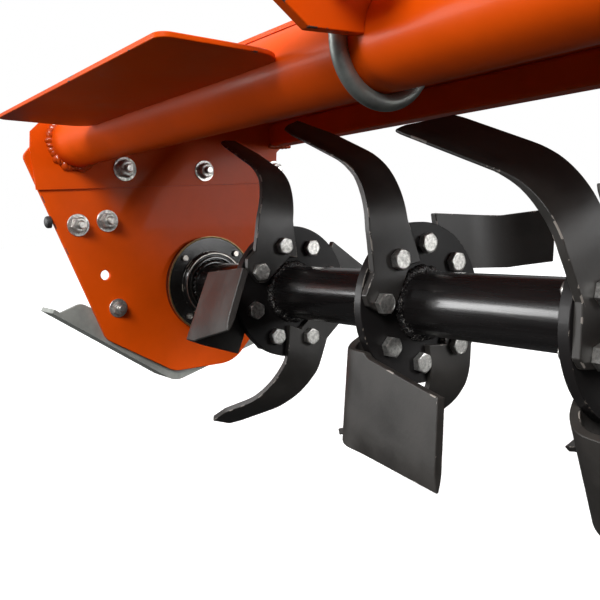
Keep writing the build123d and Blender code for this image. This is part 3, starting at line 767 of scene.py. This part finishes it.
def wire(name, paths, radius, closed=False):
    """One mesh of round plated wires along lists of world points."""
    piece = curve_piece(name, paths, closed)
    piece.data.bevel_depth = radius * MM
    piece.data.bevel_resolution = 3
    piece.data.use_fill_caps = True
    finish_piece(plain(piece), "zinc bolts", "frame")


def ring_points(x, y, z, radius, count=48):
    """World points round a circle across the machine."""
    places = circle(x, y, z, radius, [360.0 * i / count for i in range(count)], None)
    return [at(x, y, z) for x, y, z, _ in places]


FACE_RIGHT = (0.0, 0.0, 0.0)
FACE_LEFT = (0.0, 0.0, math.pi)
FACE_UP = (0.0, -math.pi / 2, 0.0)
FACE_FRONT = (0.0, 0.0, -math.pi / 2)
FACE_BACK = (0.0, 0.0, math.pi / 2)


# ------------------------------------------------------------------ blades
# Each shape in millimetres and degrees: the angle from the root's middle to the shank; the bend's
# radius; how far out the bend's corner and the tip lie; how far the leading and trailing corners
# stand across; then, for the leading and the trailing edge, how far it lies to the side, at three
# places out along the shank and two across along the wing.
BLADE_SHAPES = {
    "long": (54, 103, 155, 233, (166, 181), (77, 76, 61, 84, 53), (4, 17, 11, -4, 25)),
    "swept": (54, 95, 150, 222, (162, 140), (74, 78, 69, 90, 64), (4, 17, 11, -2, 20)),
    "lower": (54, 100, 148, 217, (163, 168), (77, 76, 61, 80, 53), (4, 17, 11, -4, 25)),
    "early": (54, 85, 132, 196, (188, 196), (77, 76, 61, 84, 60), (4, 12, 11, -4, 25)),
    "broad": (69, 36, 106, 130, (186, 183), (124, 156, 182, 201, 221), (28, 52, 58, 58, 80)),
    "blunt": (63, 36, 137, 172, (169, 161), (112, 116, 118, 116, 98), (10, 20, 22, 21, 13)),
    "right": (44, 50, 180, 219, (190, 190), (94, 92, 90, 90, 90), (4, 6, 8, 8, 10)),
    "short": (56, 110, 148, 213, (60, 54), (100, 91, 80, 76, 68), (32, 22, 12, 10, 10)),
}
DISC_BLADES = [     # for each disc: shape, hand and turn of the shank away from the root, in degrees
    [("long", -1, 5.5), ("blunt", 1, 0.0), ("lower", -1, -6.5), ("short", 1, -8.0)],
    [("long", -1, -2.0), ("broad", 1, 0.0), ("early", -1, -12.0), ("short", 1, 1.0)],
    [("swept", -1, -10.0), ("broad", 1, 2.0), ("long", -1, 0.0), ("short", 1, 0.0)],
    [("long", -1, 0.0), ("right", 1, 0.0), ("long", -1, 0.0), ("short", 1, 0.0)],
]
SHANK_PLACES = (50.0, 100, 160)     # where the shank's tables lie, out from the axis
WING_PLACES = (10, 60, 180)         # where the wing's tables lie, across; the first has FAR
FAR = 300                           # well outside any edge
BEND_FROM = 60                      # no bend starts nearer the axis
ROOT_PLATE = (      # outline of the bolted root on its disc, out and aside
    (46, -29), (55, -38), (83, -38), (92, -29), (92, 29), (83, 38), (55, 38), (46, 29))
ROOT_SLACK = 0.05                   # keeps a root plate's faces just inside the shank's
EDGE_T = 3.0                        # thickness of the sharpened edge
GROUND_FROM = 0.84                  # share of a wing's width where its grinding starts
WING_FROM, WING_RUN = 20, 40        # how far across the grinding fades in
FINE = 160                          # points on the finely divided middle line


def blade_path(shape, thick, steps=14):
    """The blade's middle line seen along its edges: rows of (across, out)."""
    _, radius, bend_at, tip_at, reach, _, _ = shape
    start = np.array((thick / 2, SHANK_PLACES[0]))
    bend = np.array((thick / 2, bend_at))
    tip = np.array((max(reach), tip_at))
    back, on = (v / np.linalg.norm(v) for v in (start - bend, tip - bend))
    half = math.acos(float(np.clip(back @ on, -1, 1))) / 2
    length = min(radius / math.tan(half), np.linalg.norm(tip - bend) * 0.98, bend_at - BEND_FROM)
    radius = length * math.tan(half)
    first, last = bend + back * length, bend + on * length
    centre = bend + (back + on) / np.linalg.norm(back + on) * radius / math.sin(half)
    a = math.atan2(*(first - centre)[::-1])
    b = math.atan2(*(last - centre)[::-1])
    b -= 2 * math.pi * round((b - a) / (2 * math.pi))
    arc = [centre + radius * np.array((math.cos(t), math.sin(t))) for t in np.linspace(a, b, steps)]
    ahead = last + (tip - last) * 1.02
    return np.array([start, *arc, ahead])


def blade_edges(shape, path):
    """Where the leading and trailing edges lie beside each point of the path."""
    edges = []
    for table, inner, far in ((shape[5], np.minimum, FAR), (shape[6], np.maximum, -FAR)):
        q = inner(np.interp(path[:, 1], SHANK_PLACES, table[:3]),
                  np.interp(path[:, 0], WING_PLACES, (far, *table[3:])))
        for _ in range(4):
            q[1:-1] = (q[:-2] + 2 * q[1:-1] + q[2:]) / 4
        edges.append(q)
    return edges


def blade_grid(shape, thick, stations=44, columns=10):
    """Rows of (across, out, aside, normal across, normal out, thickness) from root to tip."""
    rough = blade_path(shape, thick)
    run = np.concatenate([[0], np.cumsum(np.linalg.norm(np.diff(rough, axis=0), axis=1))])
    fine = np.linspace(0, run[-1], FINE)
    path = np.column_stack([np.interp(fine, run, rough[:, k]) for k in (0, 1)])
    lead_q, trail_q = blade_edges(shape, path)
    tangent = np.gradient(path, axis=0)
    tangent /= np.linalg.norm(tangent, axis=1)[:, None]
    lead_reach, trail_reach = shape[4]
    rows = []
    for u in np.linspace(0, 1, stations + 1):
        row = []
        for v in np.linspace(0, 1, columns + 1):
            reach = trail_reach + (lead_reach - trail_reach) * v
            s = u * np.interp(reach, path[:, 0] + np.arange(FINE) * 1e-6, fine)
            x, p, tx, tp = (np.interp(s, fine, column) for column in (*path.T, *tangent.T))
            low, high = np.interp(s, fine, trail_q), np.interp(s, fine, lead_q)
            wing = min(1.0, max(0.0, (x - WING_FROM) / WING_RUN))
            ground = min(1.0, max(0.0, (v - GROUND_FROM) / (1 - GROUND_FROM))) * wing
            row.append((x, p, low + (high - low) * v, tp, -tx, thick - (thick - EDGE_T) * ground))
        rows.append(row)
    return rows


def outline_of(skin):
    """The outer loop of a grid of vertices."""
    return skin[0] + [r[-1] for r in skin[1:-1]] + skin[-1][::-1] + [r[0] for r in skin[-2:0:-1]]


def blade_set(index):
    """A disc's four blades as one mesh, each a closed blade over a closed root plate."""
    sizes = settings("sizes")
    thick = sizes.blade_thickness / MM
    first = math.degrees(sizes.first_root + index * sizes.root_step)
    offset = DISC_T / 2 + thick
    work = bmesh.new()

    def vertex(across, out, aside, way):
        """New vertex for a place in a blade that is turned that way round the axis."""
        return work.verts.new(at(
            DISC_X[index] + across,
            out * math.cos(way) - aside * math.sin(way),
            out * math.sin(way) + aside * math.cos(way)))

    for blade, (name, hand, turn) in enumerate(DISC_BLADES[index]):
        shape = BLADE_SHAPES[name]
        way = math.radians(first + 90 * blade + turn - shape[0])
        skins = []
        for side in (1, -1):
            skin = [[vertex(hand * (x + side * nx * t / 2 - offset), p + side * nz * t / 2, q, way)
                     for x, p, q, nx, nz, t in row] for row in blade_grid(shape, thick)]
            skins.append(skin)
            for a, b in zip(skin, skin[1:]):
                for i in range(len(a) - 1):
                    work.faces.new((a[i], a[i + 1], b[i + 1], b[i]))
        stitch(work, *map(outline_of, skins))
        root = math.radians(first + 90 * blade)
        rings = [[vertex(hand * across, out, aside, root) for out, aside in ROOT_PLATE]
                 for across in (ROOT_SLACK - offset, thick - ROOT_SLACK - offset)]
        for ring in rings:
            work.faces.new(ring)
        stitch(work, *rings)
    piece = link_object(f"blades_{index + 1}_finish", smooth_mesh(work, "blades"))
    replacement(piece, f"blades_{index + 1}", 0.0013, "blade coat", 33.0)


# ------------------------------------------------------------------ operators
FLOOR_REACH = 14.0                  # metres from the middle to the studio floor's edge
FLOOR_DROP = 0.0005                 # keeps the floor clear of the machine
LENS = 45.71                        # focal length for a sensor 36 mm wide
CAMERA_TURN = (54.81, 6.52, -3.28)  # azimuth, elevation and roll in degrees
CAMERA_AT = (521.4, -635.6, 114.4)  # millimetres, for at()


class TILLER_OT_stage(bpy.types.Operator):
    """Studio floor, soft lights and camera"""
    bl_idname = "tiller.stage"
    bl_label = "Studio"

    def execute(self, context):
        scene = context.scene
        stage = settings("stage")
        low, high = CAD_BOUNDS
        centre = (low + high) / 2
        mesh = bpy.data.meshes.new("studio_floor")
        work = bmesh.new()
        bmesh.ops.create_grid(work, x_segments=1, y_segments=1, size=FLOOR_REACH)
        work.to_mesh(mesh)
        work.free()
        floor = link_object("studio_floor", mesh)
        mesh.transform(Matrix.Translation((centre.x, centre.y, low.z - FLOOR_DROP)))
        tree = new_tree("studio floor")
        seen = node(tree, "ShaderNodeLightPath").outputs["Is Camera Ray"]
        shade = mix_colour(tree, seen, tuple(c * stage.bounce for c in stage.floor), tuple(stage.floor))
        surface(tree, shade, 0.85, Specular_IOR_Level=0.0, Emission_Color=(1.0, 1.0, 1.0, 1.0),
                Emission_Strength=spread(tree, seen, 0.0, stage.glow))
        mesh.materials.append(MATERIALS["studio floor"])

        world = bpy.data.worlds.new("studio")
        scene.world = world
        world.use_nodes = True
        tree = world.node_tree
        ray = node(tree, "ShaderNodeLightPath").outputs["Is Camera Ray"]
        way = node(tree, "ShaderNodeSeparateXYZ", {0: node(tree, "ShaderNodeTexCoord").outputs["Generated"]})
        height = band(tree, way.outputs["Z"], -0.05, 0.75)
        dim = mix_colour(tree, height, (0.13, 0.13, 0.133), (stage.sky, stage.sky, stage.sky))
        back = tree.nodes["Background"]
        feed(tree, back.inputs["Color"], mix_colour(tree, ray, dim, (1.0, 1.0, 1.0)))
        back.inputs["Strength"].default_value = 1.0

        for name, place, target, size, share in (
            ("key", (1.6, -2.6, 1.9), at(0, 0, 100), (1.8, 1.2), 1.0),
            ("fill", (-2.4, -2.6, 0.35), at(-300, 0, 100), (1.4, 1.0), 0.42),
            ("side", (3.4, 2.2, 0.5), at(0, 0, 0), (1.6, 1.4), 0.52),
            ("rim", (0.6, 2.6, 2.2), at(0, 0, 150), (2.4, 1.0), 0.6),
        ):
            light = bpy.data.lights.new(name, "AREA")
            light.shape = "RECTANGLE"
            light.size, light.size_y = size
            light.energy = stage.key * share
            lamp = link_object(name, light)
            lamp.location = centre + Vector(place)
            lamp.rotation_mode = "QUATERNION"
            lamp.rotation_quaternion = (target - lamp.location).to_track_quat("-Z", "Y")

        lens = bpy.data.cameras.new("camera")
        lens.sensor_width = 36.0
        lens.lens = LENS
        lens.clip_start = 0.01
        lens.clip_end = 100.0
        camera = link_object("camera", lens)
        azimuth, elevation, roll = (math.radians(a) for a in CAMERA_TURN)
        turned = (Matrix.Rotation(azimuth, 4, "Z") @ Matrix.Rotation(math.pi / 2 - elevation, 4, "X")
                  @ Matrix.Rotation(roll, 4, "Z"))
        camera.matrix_world = Matrix.Translation(at(*CAMERA_AT)) @ turned
        scene.camera = camera
        scene.view_settings.view_transform = "Standard"
        return {"FINISHED"}


DRESSED = (         # a material and the CAD nodes in it
    ("orange paint", (
        "side_plate_left", "side_plate_right", "main_tube", "rear_beam", "hood", "front_guard",
        "drive_case", "drive_tube", "gearbox_carrier_left", "gearbox_carrier_right",
        "hitch_clamp_left", "hitch_clamp_right", "mast", "mast_stay_left", "mast_stay_right",
        "flap_hinge", "stand_sleeve", "rear_flap")),
    ("skid grey", ("skid_left", "skid_right")),
    ("zinc bolts", ("link_pin_left", "link_pin_right", "parking_stand")),
    ("clamp zinc", ("u_bolts", "clamp_caps")),
    ("cast black", ("gearbox",)),
    ("black paint", ("bearing_cap",)),
    ("guard plastic", ("shaft_guard",)),
)


class TILLER_OT_frame(bpy.types.Operator):
    """Frame, hitch, skids, gearbox, flap, stand and input shaft with rounded edges"""
    bl_idname = "tiller.frame"
    bl_label = "Frame"

    def execute(self, context):
        edge = settings("sizes").edge
        for material, nodes in DRESSED:
            for name in nodes:
                dress(name, edge, material)
        dress("input_shaft", edge / 2, "machined steel")
        return {"FINISHED"}


class TILLER_OT_rotor(bpy.types.Operator):
    """Rotor tube, discs and blades"""
    bl_idname = "tiller.rotor"
    bl_label = "Rotor"

    def execute(self, context):
        dress("rotor_shaft", 0.0008, "rotor black")
        for i, name in enumerate(DISCS):
            dress(name, 0.0010, "disc black")
            blade_set(i)
        return {"FINISHED"}


class TILLER_OT_blade_bolts(bpy.types.Operator):
    """Two bolts and lock nuts for every blade"""
    bl_idname = "tiller.blade_bolts"
    bl_label = "Blade bolts"

    def execute(self, context):
        sizes = settings("sizes")
        flats = sizes.bolt_flats
        near = DISC_T / 2 * MM
        far = near + sizes.blade_thickness
        for name, rows, side, seed in (
            ("blade_bolt_heads", hex_head(flats, flats * 0.42), 1.0, 3),
            ("blade_bolt_nuts", lock_nut(flats, flats * 0.62, flats * 0.29), -1.0, 11),
        ):
            template = link_object(name + "_template", revolve_rows(rows, SIDES))
            carrier = bpy.data.meshes.new(name)
            carrier.from_pydata([(0, 0, 0)], [], [])
            piece = run_tree(link_object(name, carrier), "blade bolts", {
                "Template": template, "Material": MATERIALS["zinc bolts"],
                "Discs": len(DISCS), "First Disc": DISC_X[0] * MM,
                "Pitch": (DISC_X[1] - DISC_X[0]) * MM, "Circle": sizes.bolt_circle,
                "Spread": sizes.bolt_spread, "First Root": sizes.first_root,
                "Step": sizes.root_step, "Side": side, "Seed": seed,
                "Outer Stand": far if side > 0 else near,
                "Inner Stand": near if side > 0 else far})
            piece.data.transform(Matrix.Translation(at(0, 0, 0)))
            bpy.data.objects.remove(template)
            finish_piece(piece, "zinc bolts", "rotor")
        return {"FINISHED"}


BEAM_HALF = 20.0            # half the square rear beam's side


class TILLER_OT_welds(bpy.types.Operator):
    """Weld beads on the rotor and the frame"""
    bl_idname = "tiller.welds"
    bl_label = "Welds"

    def execute(self, context):
        leg = settings("sizes").weld
        weld("rotor_welds", [ring_points(x + side * (DISC_T / 2 + 1), 0, 0, ROTOR_R + 1.5)
                             for x in DISC_X for side in (-1, 1)],
             "weld black", "rotor", "black_paint", leg)
        tube = middle("main_tube")
        weld("frame_welds", [ring_points(x, tube.y, tube.z, TUBE_R) for x in (-HALF + 3, HALF - 3)],
             "orange weld", "frame", "orange_paint", leg * 1.25, 0.45)
        beam = middle("rear_beam")
        weld("beam_welds", [[at(x, beam.y + side * BEAM_HALF, beam.z - BEAM_HALF) for side in (-1, 1)]
                            for x in (-HALF + 5, HALF - 5)],
             "orange weld", "frame", "orange_paint", leg * 0.8, closed=False)
        return {"FINISHED"}


PLATE_NUTS = [      # y, z, size: nuts that hold the hood's flange and the skid to the plate
    (-140.0, 200.0, 24.0),
    (4.0, 195.0, 22.0),
    (-223.0, 115.0, 22.0),
    (-175.0, 119.0, 22.0),
    (-169.0, -22.0, 19.0),
    (148.0, 195.0, 20.0),
]
HOOD_SHEET = 4.0
HOOD_FLANGE_FROM = 171      # height from which a nut stands on the hood's flange


class TILLER_OT_plate_fasteners(bpy.types.Operator):
    """Flange nuts inside the side plates, bolt heads outside them and plugs on their edges"""
    bl_idname = "tiller.plate_fasteners"
    bl_label = "Plate fasteners"

    def execute(self, context):
        inside = [(-HALF + (HOOD_SHEET if z > HOOD_FLANGE_FROM else 0.0), y, z, size)
                  for y, z, size in PLATE_NUTS]
        fasteners("plate_nuts_left", "plate nut", inside, FACE_RIGHT, 2)
        fasteners("plate_nuts_right", "plate nut", [(-x, y, z, s) for x, y, z, s in inside], FACE_LEFT, 4)
        plate = extent("side_plate_left", X)
        fasteners("plate_heads_left", "bolt", [(-HALF - plate, y, z, s) for y, z, s in PLATE_NUTS],
                  FACE_LEFT, 6)
        fasteners("plate_edge_plugs", "bumper",
                  [(side * (HALF + plate / 2), -267.0, 122.0, 15.0) for side in (-1, 1)],
                  FACE_FRONT, 8, "guard plastic")
        return {"FINISHED"}


BEARING_CIRCLE = 70.0       # of the bolts through a bearing's flange
FLANGE_STEP = 8.0           # from the housing's inner face back to its flange
CORNERS = (45, 135, 225, 315)
RING_SIDES = 208            # divides by the 26 notches of a collar


class TILLER_OT_bearings(bpy.types.Operator):
    """Bearing housings with their screws, rims, rings, seals and collars"""
    bl_idname = "tiller.bearings"
    bl_label = "Bearings"

    def execute(self, context):
        collar = toothed(43.0 * MM, 2.0 * MM, 26)
        for side, name in ((-1, "left"), (1, "right")):
            housing = f"bearing_housing_{name}"
            dress(housing, 0.0012, "bearing black")
            low, high = ends(housing)
            inner = high.x if side < 0 else low.x
            flange = inner + side * FLANGE_STEP
            flange_r = extent(housing, Z) / 2
            fasteners(f"bearing_screws_{name}", "screw", circle(flange, 0, 0, BEARING_CIRCLE, CORNERS, 10.0),
                      FACE_RIGHT if side < 0 else FACE_LEFT, 5, "machined steel")
            # rows of radius and height in millimetres from a face; the toothed radius is in metres
            for key, start, rows, material, body, slot in (
                ("rim", flange, [(flange_r + 0.5, -2.0), (flange_r + 0.5, 0.6), (flange_r - 1.2, 1.1),
                                 (flange_r - 2.4, 0.5), (flange_r - 2.6, -2.0)], "yellow plating",
                 "frame", "machined_steel"),
                ("rings", inner, [(56.5, -1.0), (56.5, 2.0), (55.5, 3.0), (52.5, 3.0), (52.0, 1.2),
                                  (49.5, 1.2), (49.0, 5.2), (47.5, 6.0), (45.5, 6.0), (44.5, 2.0),
                                  (44.5, -1.0)], "bearing black", "frame", "black_paint"),
                ("seal", inner, [(55.0, 2.9), (54.6, 3.7), (53.4, 3.7), (53.0, 2.9)], "machined steel",
                 "frame", "machined_steel"),
                ("collar", inner, [(collar, 0.4), (collar, 3.4), (40.6, 4.6), (39.0, 5.4),
                                   (ROTOR_R - 1, 5.4), (ROTOR_R - 1, 0.4)], "bearing black",
                 "rotor", "black_paint"),
            ):
                ring = revolve_rows([(r if callable(r) else r * MM, h * MM) for r, h in rows], RING_SIDES,
                                    hollow=True)
                if side > 0:
                    ring.transform(Matrix.Rotation(math.pi, 4, "Z"))
                ring.transform(Matrix.Translation(at(start, 0, 0)))
                finish_piece(link_object(f"bearing_{key}_{name}", ring), material, body)
        return {"FINISHED"}


UBOLT_WIRE = 7.0            # radius of a U-bolt's wire
COLLAR_T = 12.0             # flanges of the cross shaft's tube, and the circle of their bolts
COLLAR_CIRCLE = 45.0
GUARD_CIRCLE = 42.0         # of the shaft guard's screws


class TILLER_OT_gearbox_fittings(bpy.types.Operator):
    """Nuts on the U-bolts, and bolts, screws and a plug on the gearbox and the cross shaft's tube"""
    bl_idname = "tiller.gearbox_fittings"
    bl_label = "Gearbox fittings"

    def execute(self, context):
        tube = middle("main_tube")
        low, high = ends("u_bolts")
        fasteners("u_bolt_nuts", "nut",
                  [(x, tube.y + turn * (TUBE_R + UBOLT_WIRE), ends("clamp_caps")[1].z, 22.0)
                   for x in (low.x + UBOLT_WIRE, high.x - UBOLT_WIRE) for turn in (-1, 1)], FACE_UP, 21)

        top = ends("gearbox")[1]
        shaft = middle("input_shaft")
        cross = middle("drive_tube")
        side = ends("gearbox_carrier_left")[0].x
        fasteners("carrier_bolts_left", "bolt",
                  [(side, cross.y + y, cross.z + z, 19.0)
                   for y, z in ((-40, 22), (40, 22), (-40, -34), (40, -34))],
                  FACE_LEFT, 22)
        low, high = ends("drive_tube")
        for name, x, facing, seed in (
            ("left", low.x + COLLAR_T, FACE_RIGHT, 23), ("right", high.x - COLLAR_T, FACE_LEFT, 24)
        ):
            fasteners(f"drive_tube_bolts_{name}", "bolt",
                      circle(x, cross.y, cross.z, COLLAR_CIRCLE, range(30, 390, 60), 13.0), facing, seed)
        fasteners("gearbox_cover_bolts", "bolt",
                  [(shaft.x + x, top.y, shaft.z + z, 13.0) for x in (-72, 0, 72) for z in (-52, 52)],
                  FACE_BACK, 25)
        fasteners("gearbox_plug", "plug", [(shaft.x - 45, cross.y + 20, top.z, 26.0)], FACE_UP, 26,
                  "yellow plating")
        guard_back = ends("shaft_guard")[1].y
        fasteners("shaft_guard_screws", "bolt",
                  [(shaft.x + GUARD_CIRCLE * math.cos(t), guard_back - 4,
                    shaft.z + GUARD_CIRCLE * math.sin(t), 10.0)
                   for t in map(math.radians, CORNERS)], FACE_FRONT, 27)
        return {"FINISHED"}


CASE_INSET = 19.0           # from the drive case's edge in to its bolts
COVER_RISE = 1.3            # a case cover's thickness under its bolts
COVER_CIRCLE = 44.0


class TILLER_OT_drive_case_fittings(bpy.types.Operator):
    """Bolts, covers and plug on the drive case"""
    bl_idname = "tiller.drive_case_fittings"
    bl_label = "Drive case fittings"

    def execute(self, context):
        cross = middle("drive_tube")
        low, high = ends("drive_case")
        top_r = high.z - cross.z
        low_r = -low.z
        lean = math.atan2(cross.z, cross.y)
        tangent = math.acos((low_r - top_r) / math.hypot(cross.y, cross.z))

        def arc(y, z, radius, start, sweep, steps):
            angles = [start + sweep * k / steps for k in range(steps + 1)]
            return [(y + (radius - CASE_INSET) * math.cos(t), z + (radius - CASE_INSET) * math.sin(t))
                    for t in angles]

        upper = arc(cross.y, cross.z, top_r, lean - tangent, 2 * tangent, 4)
        lower = arc(0.0, 0.0, low_r, lean + tangent, 2 * math.pi - 2 * tangent, 6)
        places = upper + lower
        for (y0, z0), (y1, z1) in ((upper[0], lower[-1]), (upper[-1], lower[0])):
            places += [(y0 + (y1 - y0) * part, z0 + (z1 - z0) * part) for part in (0.25, 0.5, 0.75)]
        fasteners("drive_case_bolts", "bolt", [(high.x, y, z, 13.0) for y, z in places], FACE_RIGHT, 28)
        fasteners("drive_case_cover", "cover",
                  [(high.x, 0.0, 0.0, 62.0), (high.x, cross.y, cross.z, 46.0)], FACE_RIGHT, 29,
                  "orange paint", COVER_SIDES)
        fasteners("drive_case_cover_bolts", "bolt",
                  circle(high.x + COVER_RISE, 0.0, 0.0, COVER_CIRCLE, range(0, 360, 60), 10.0),
                  FACE_RIGHT, 30)
        fasteners("drive_case_plug", "plug", [(high.x, cross.y * 0.45, cross.z * 0.45, 17.0)],
                  FACE_RIGHT, 31, "yellow plating")
        return {"FINISHED"}


SKID_WEB = 7.0
SKID_BOLTS = ((-212.0, -36.0), (-76.0, -124.0), (96.0, -108.0))


class TILLER_OT_side_fittings(bpy.types.Operator):
    """Bolts and grease nipple outside the left bearing, and the skids' bolts"""
    bl_idname = "tiller.side_fittings"
    bl_label = "Side fittings"

    def execute(self, context):
        plate = ends("side_plate_left")[0].x
        fasteners("bearing_bolts_outside", "bolt", circle(plate, 0, 0, BEARING_CIRCLE, CORNERS, 13.0),
                  FACE_LEFT, 32)
        fasteners("bearing_cap_nipple", "plug", [(ends("bearing_cap")[0].x, 0.0, 0.0, 9.0)], FACE_LEFT, 33,
                  "yellow plating")
        for side, name, facing in ((-1, "left", FACE_LEFT), (1, "right", FACE_RIGHT)):
            edge = side * (abs(plate) + SKID_WEB)
            fasteners(f"skid_bolts_{name}", "bolt", [(edge, y, z, 17.0) for y, z in SKID_BOLTS], facing, 34)
        return {"FINISHED"}


CLAMP_FRONT = 44.0          # from the front tube forward to the mast's bolts
LINK_PIN_R = 11.0
RING_R = 17.0               # wire ring through a pin's head
RING_TURNS = [2 * math.pi * k / 28 for k in range(28)]


class TILLER_OT_hitch_fittings(bpy.types.Operator):
    """Bolts on the mast and the hood, the stand's pin, and lynch pins with their rings"""
    bl_idname = "tiller.hitch_fittings"
    bl_label = "Hitch fittings"

    def execute(self, context):
        tube = middle("main_tube")
        shaft = middle("input_shaft")
        mast_end = ends("mast")[1].x
        front = tube.y - TUBE_R - CLAMP_FRONT
        fasteners("mast_bolts", "bolt",
                  [(shaft.x + turn * (mast_end - shaft.x - reach), front, tube.z + up, 19.0)
                   for turn in (-1, 1) for reach, up in ((22, 78), (34, 48))], FACE_FRONT, 35)
        beam = middle("rear_beam")
        roof = ends("rear_beam")[1].z + HOOD_SHEET
        fasteners("hood_bolts", "bolt",
                  [(-HALF + 50 + k * (2 * HALF - 100) / 8, beam.y, roof, 15.0) for k in range(9)],
                  FACE_UP, 36)

        sleeve = middle("stand_sleeve")
        sleeve_front = ends("stand_sleeve")[0].y
        pin_z = sleeve.z + 20
        fasteners("stand_pin", "pin", [(sleeve.x, sleeve_front, pin_z, 20.0)], FACE_FRONT, 37)
        loops = [[at(sleeve.x + RING_R * math.cos(t), sleeve_front - 12, pin_z - 14 + RING_R * math.sin(t))
                  for t in RING_TURNS]]
        pins = []
        for name, side in (("link_pin_left", -1), ("link_pin_right", 1)):
            low, high = ends(name)
            end = (low.x if side < 0 else high.x) - side * 12
            pin = middle(name)
            pins.append([at(end, pin.y, pin.z + z) for z in (-LINK_PIN_R - 12, LINK_PIN_R + 8)])
            loops.append([at(end + side * 2 + 2 * math.sin(t), pin.y + RING_R * math.cos(t),
                             pin.z + LINK_PIN_R - 7 + RING_R * math.sin(t)) for t in RING_TURNS])
        wire("pin_rings", loops, 1.6, closed=True)
        wire("lynch_pins", pins, 4.0)
        return {"FINISHED"}


class TILLER_PT_panel(bpy.types.Panel):
    """Lists the tiller's pieces"""
    bl_idname = "TILLER_PT_panel"
    bl_label = "Tiller"
    bl_space_type = "VIEW_3D"
    bl_region_type = "UI"
    bl_category = "Tiller"

    def draw(self, context):
        for operator in OPERATORS:
            self.layout.operator(operator.bl_idname)


OPERATORS = (
    TILLER_OT_stage,
    TILLER_OT_frame,
    TILLER_OT_rotor,
    TILLER_OT_blade_bolts,
    TILLER_OT_welds,
    TILLER_OT_plate_fasteners,
    TILLER_OT_bearings,
    TILLER_OT_gearbox_fittings,
    TILLER_OT_drive_case_fittings,
    TILLER_OT_side_fittings,
    TILLER_OT_hitch_fittings,
)
CLASSES = (TillerPaint, TillerSizes, TillerStage, *OPERATORS, TILLER_PT_panel)
GROUPS_OF_SETTINGS = (("paint", TillerPaint), ("sizes", TillerSizes), ("stage", TillerStage))


def register():
    for cls in CLASSES:
        bpy.utils.register_class(cls)
    for name, kind in GROUPS_OF_SETTINGS:
        setattr(bpy.types.Scene, "tiller_" + name, PointerProperty(type=kind))


def unregister():
    for name, _ in GROUPS_OF_SETTINGS:
        delattr(bpy.types.Scene, "tiller_" + name)
    for cls in reversed(CLASSES):
        bpy.utils.unregister_class(cls)


def main():
    register()
    make_materials()
    bpy.ops.tiller.stage()
    bpy.ops.tiller.frame()
    bpy.ops.tiller.rotor()
    bpy.ops.tiller.blade_bolts()
    bpy.ops.tiller.welds()
    bpy.ops.tiller.plate_fasteners()
    bpy.ops.tiller.bearings()
    bpy.ops.tiller.gearbox_fittings()
    bpy.ops.tiller.drive_case_fittings()
    bpy.ops.tiller.side_fittings()
    bpy.ops.tiller.hitch_fittings()


if __name__ == "__main__":
    main()
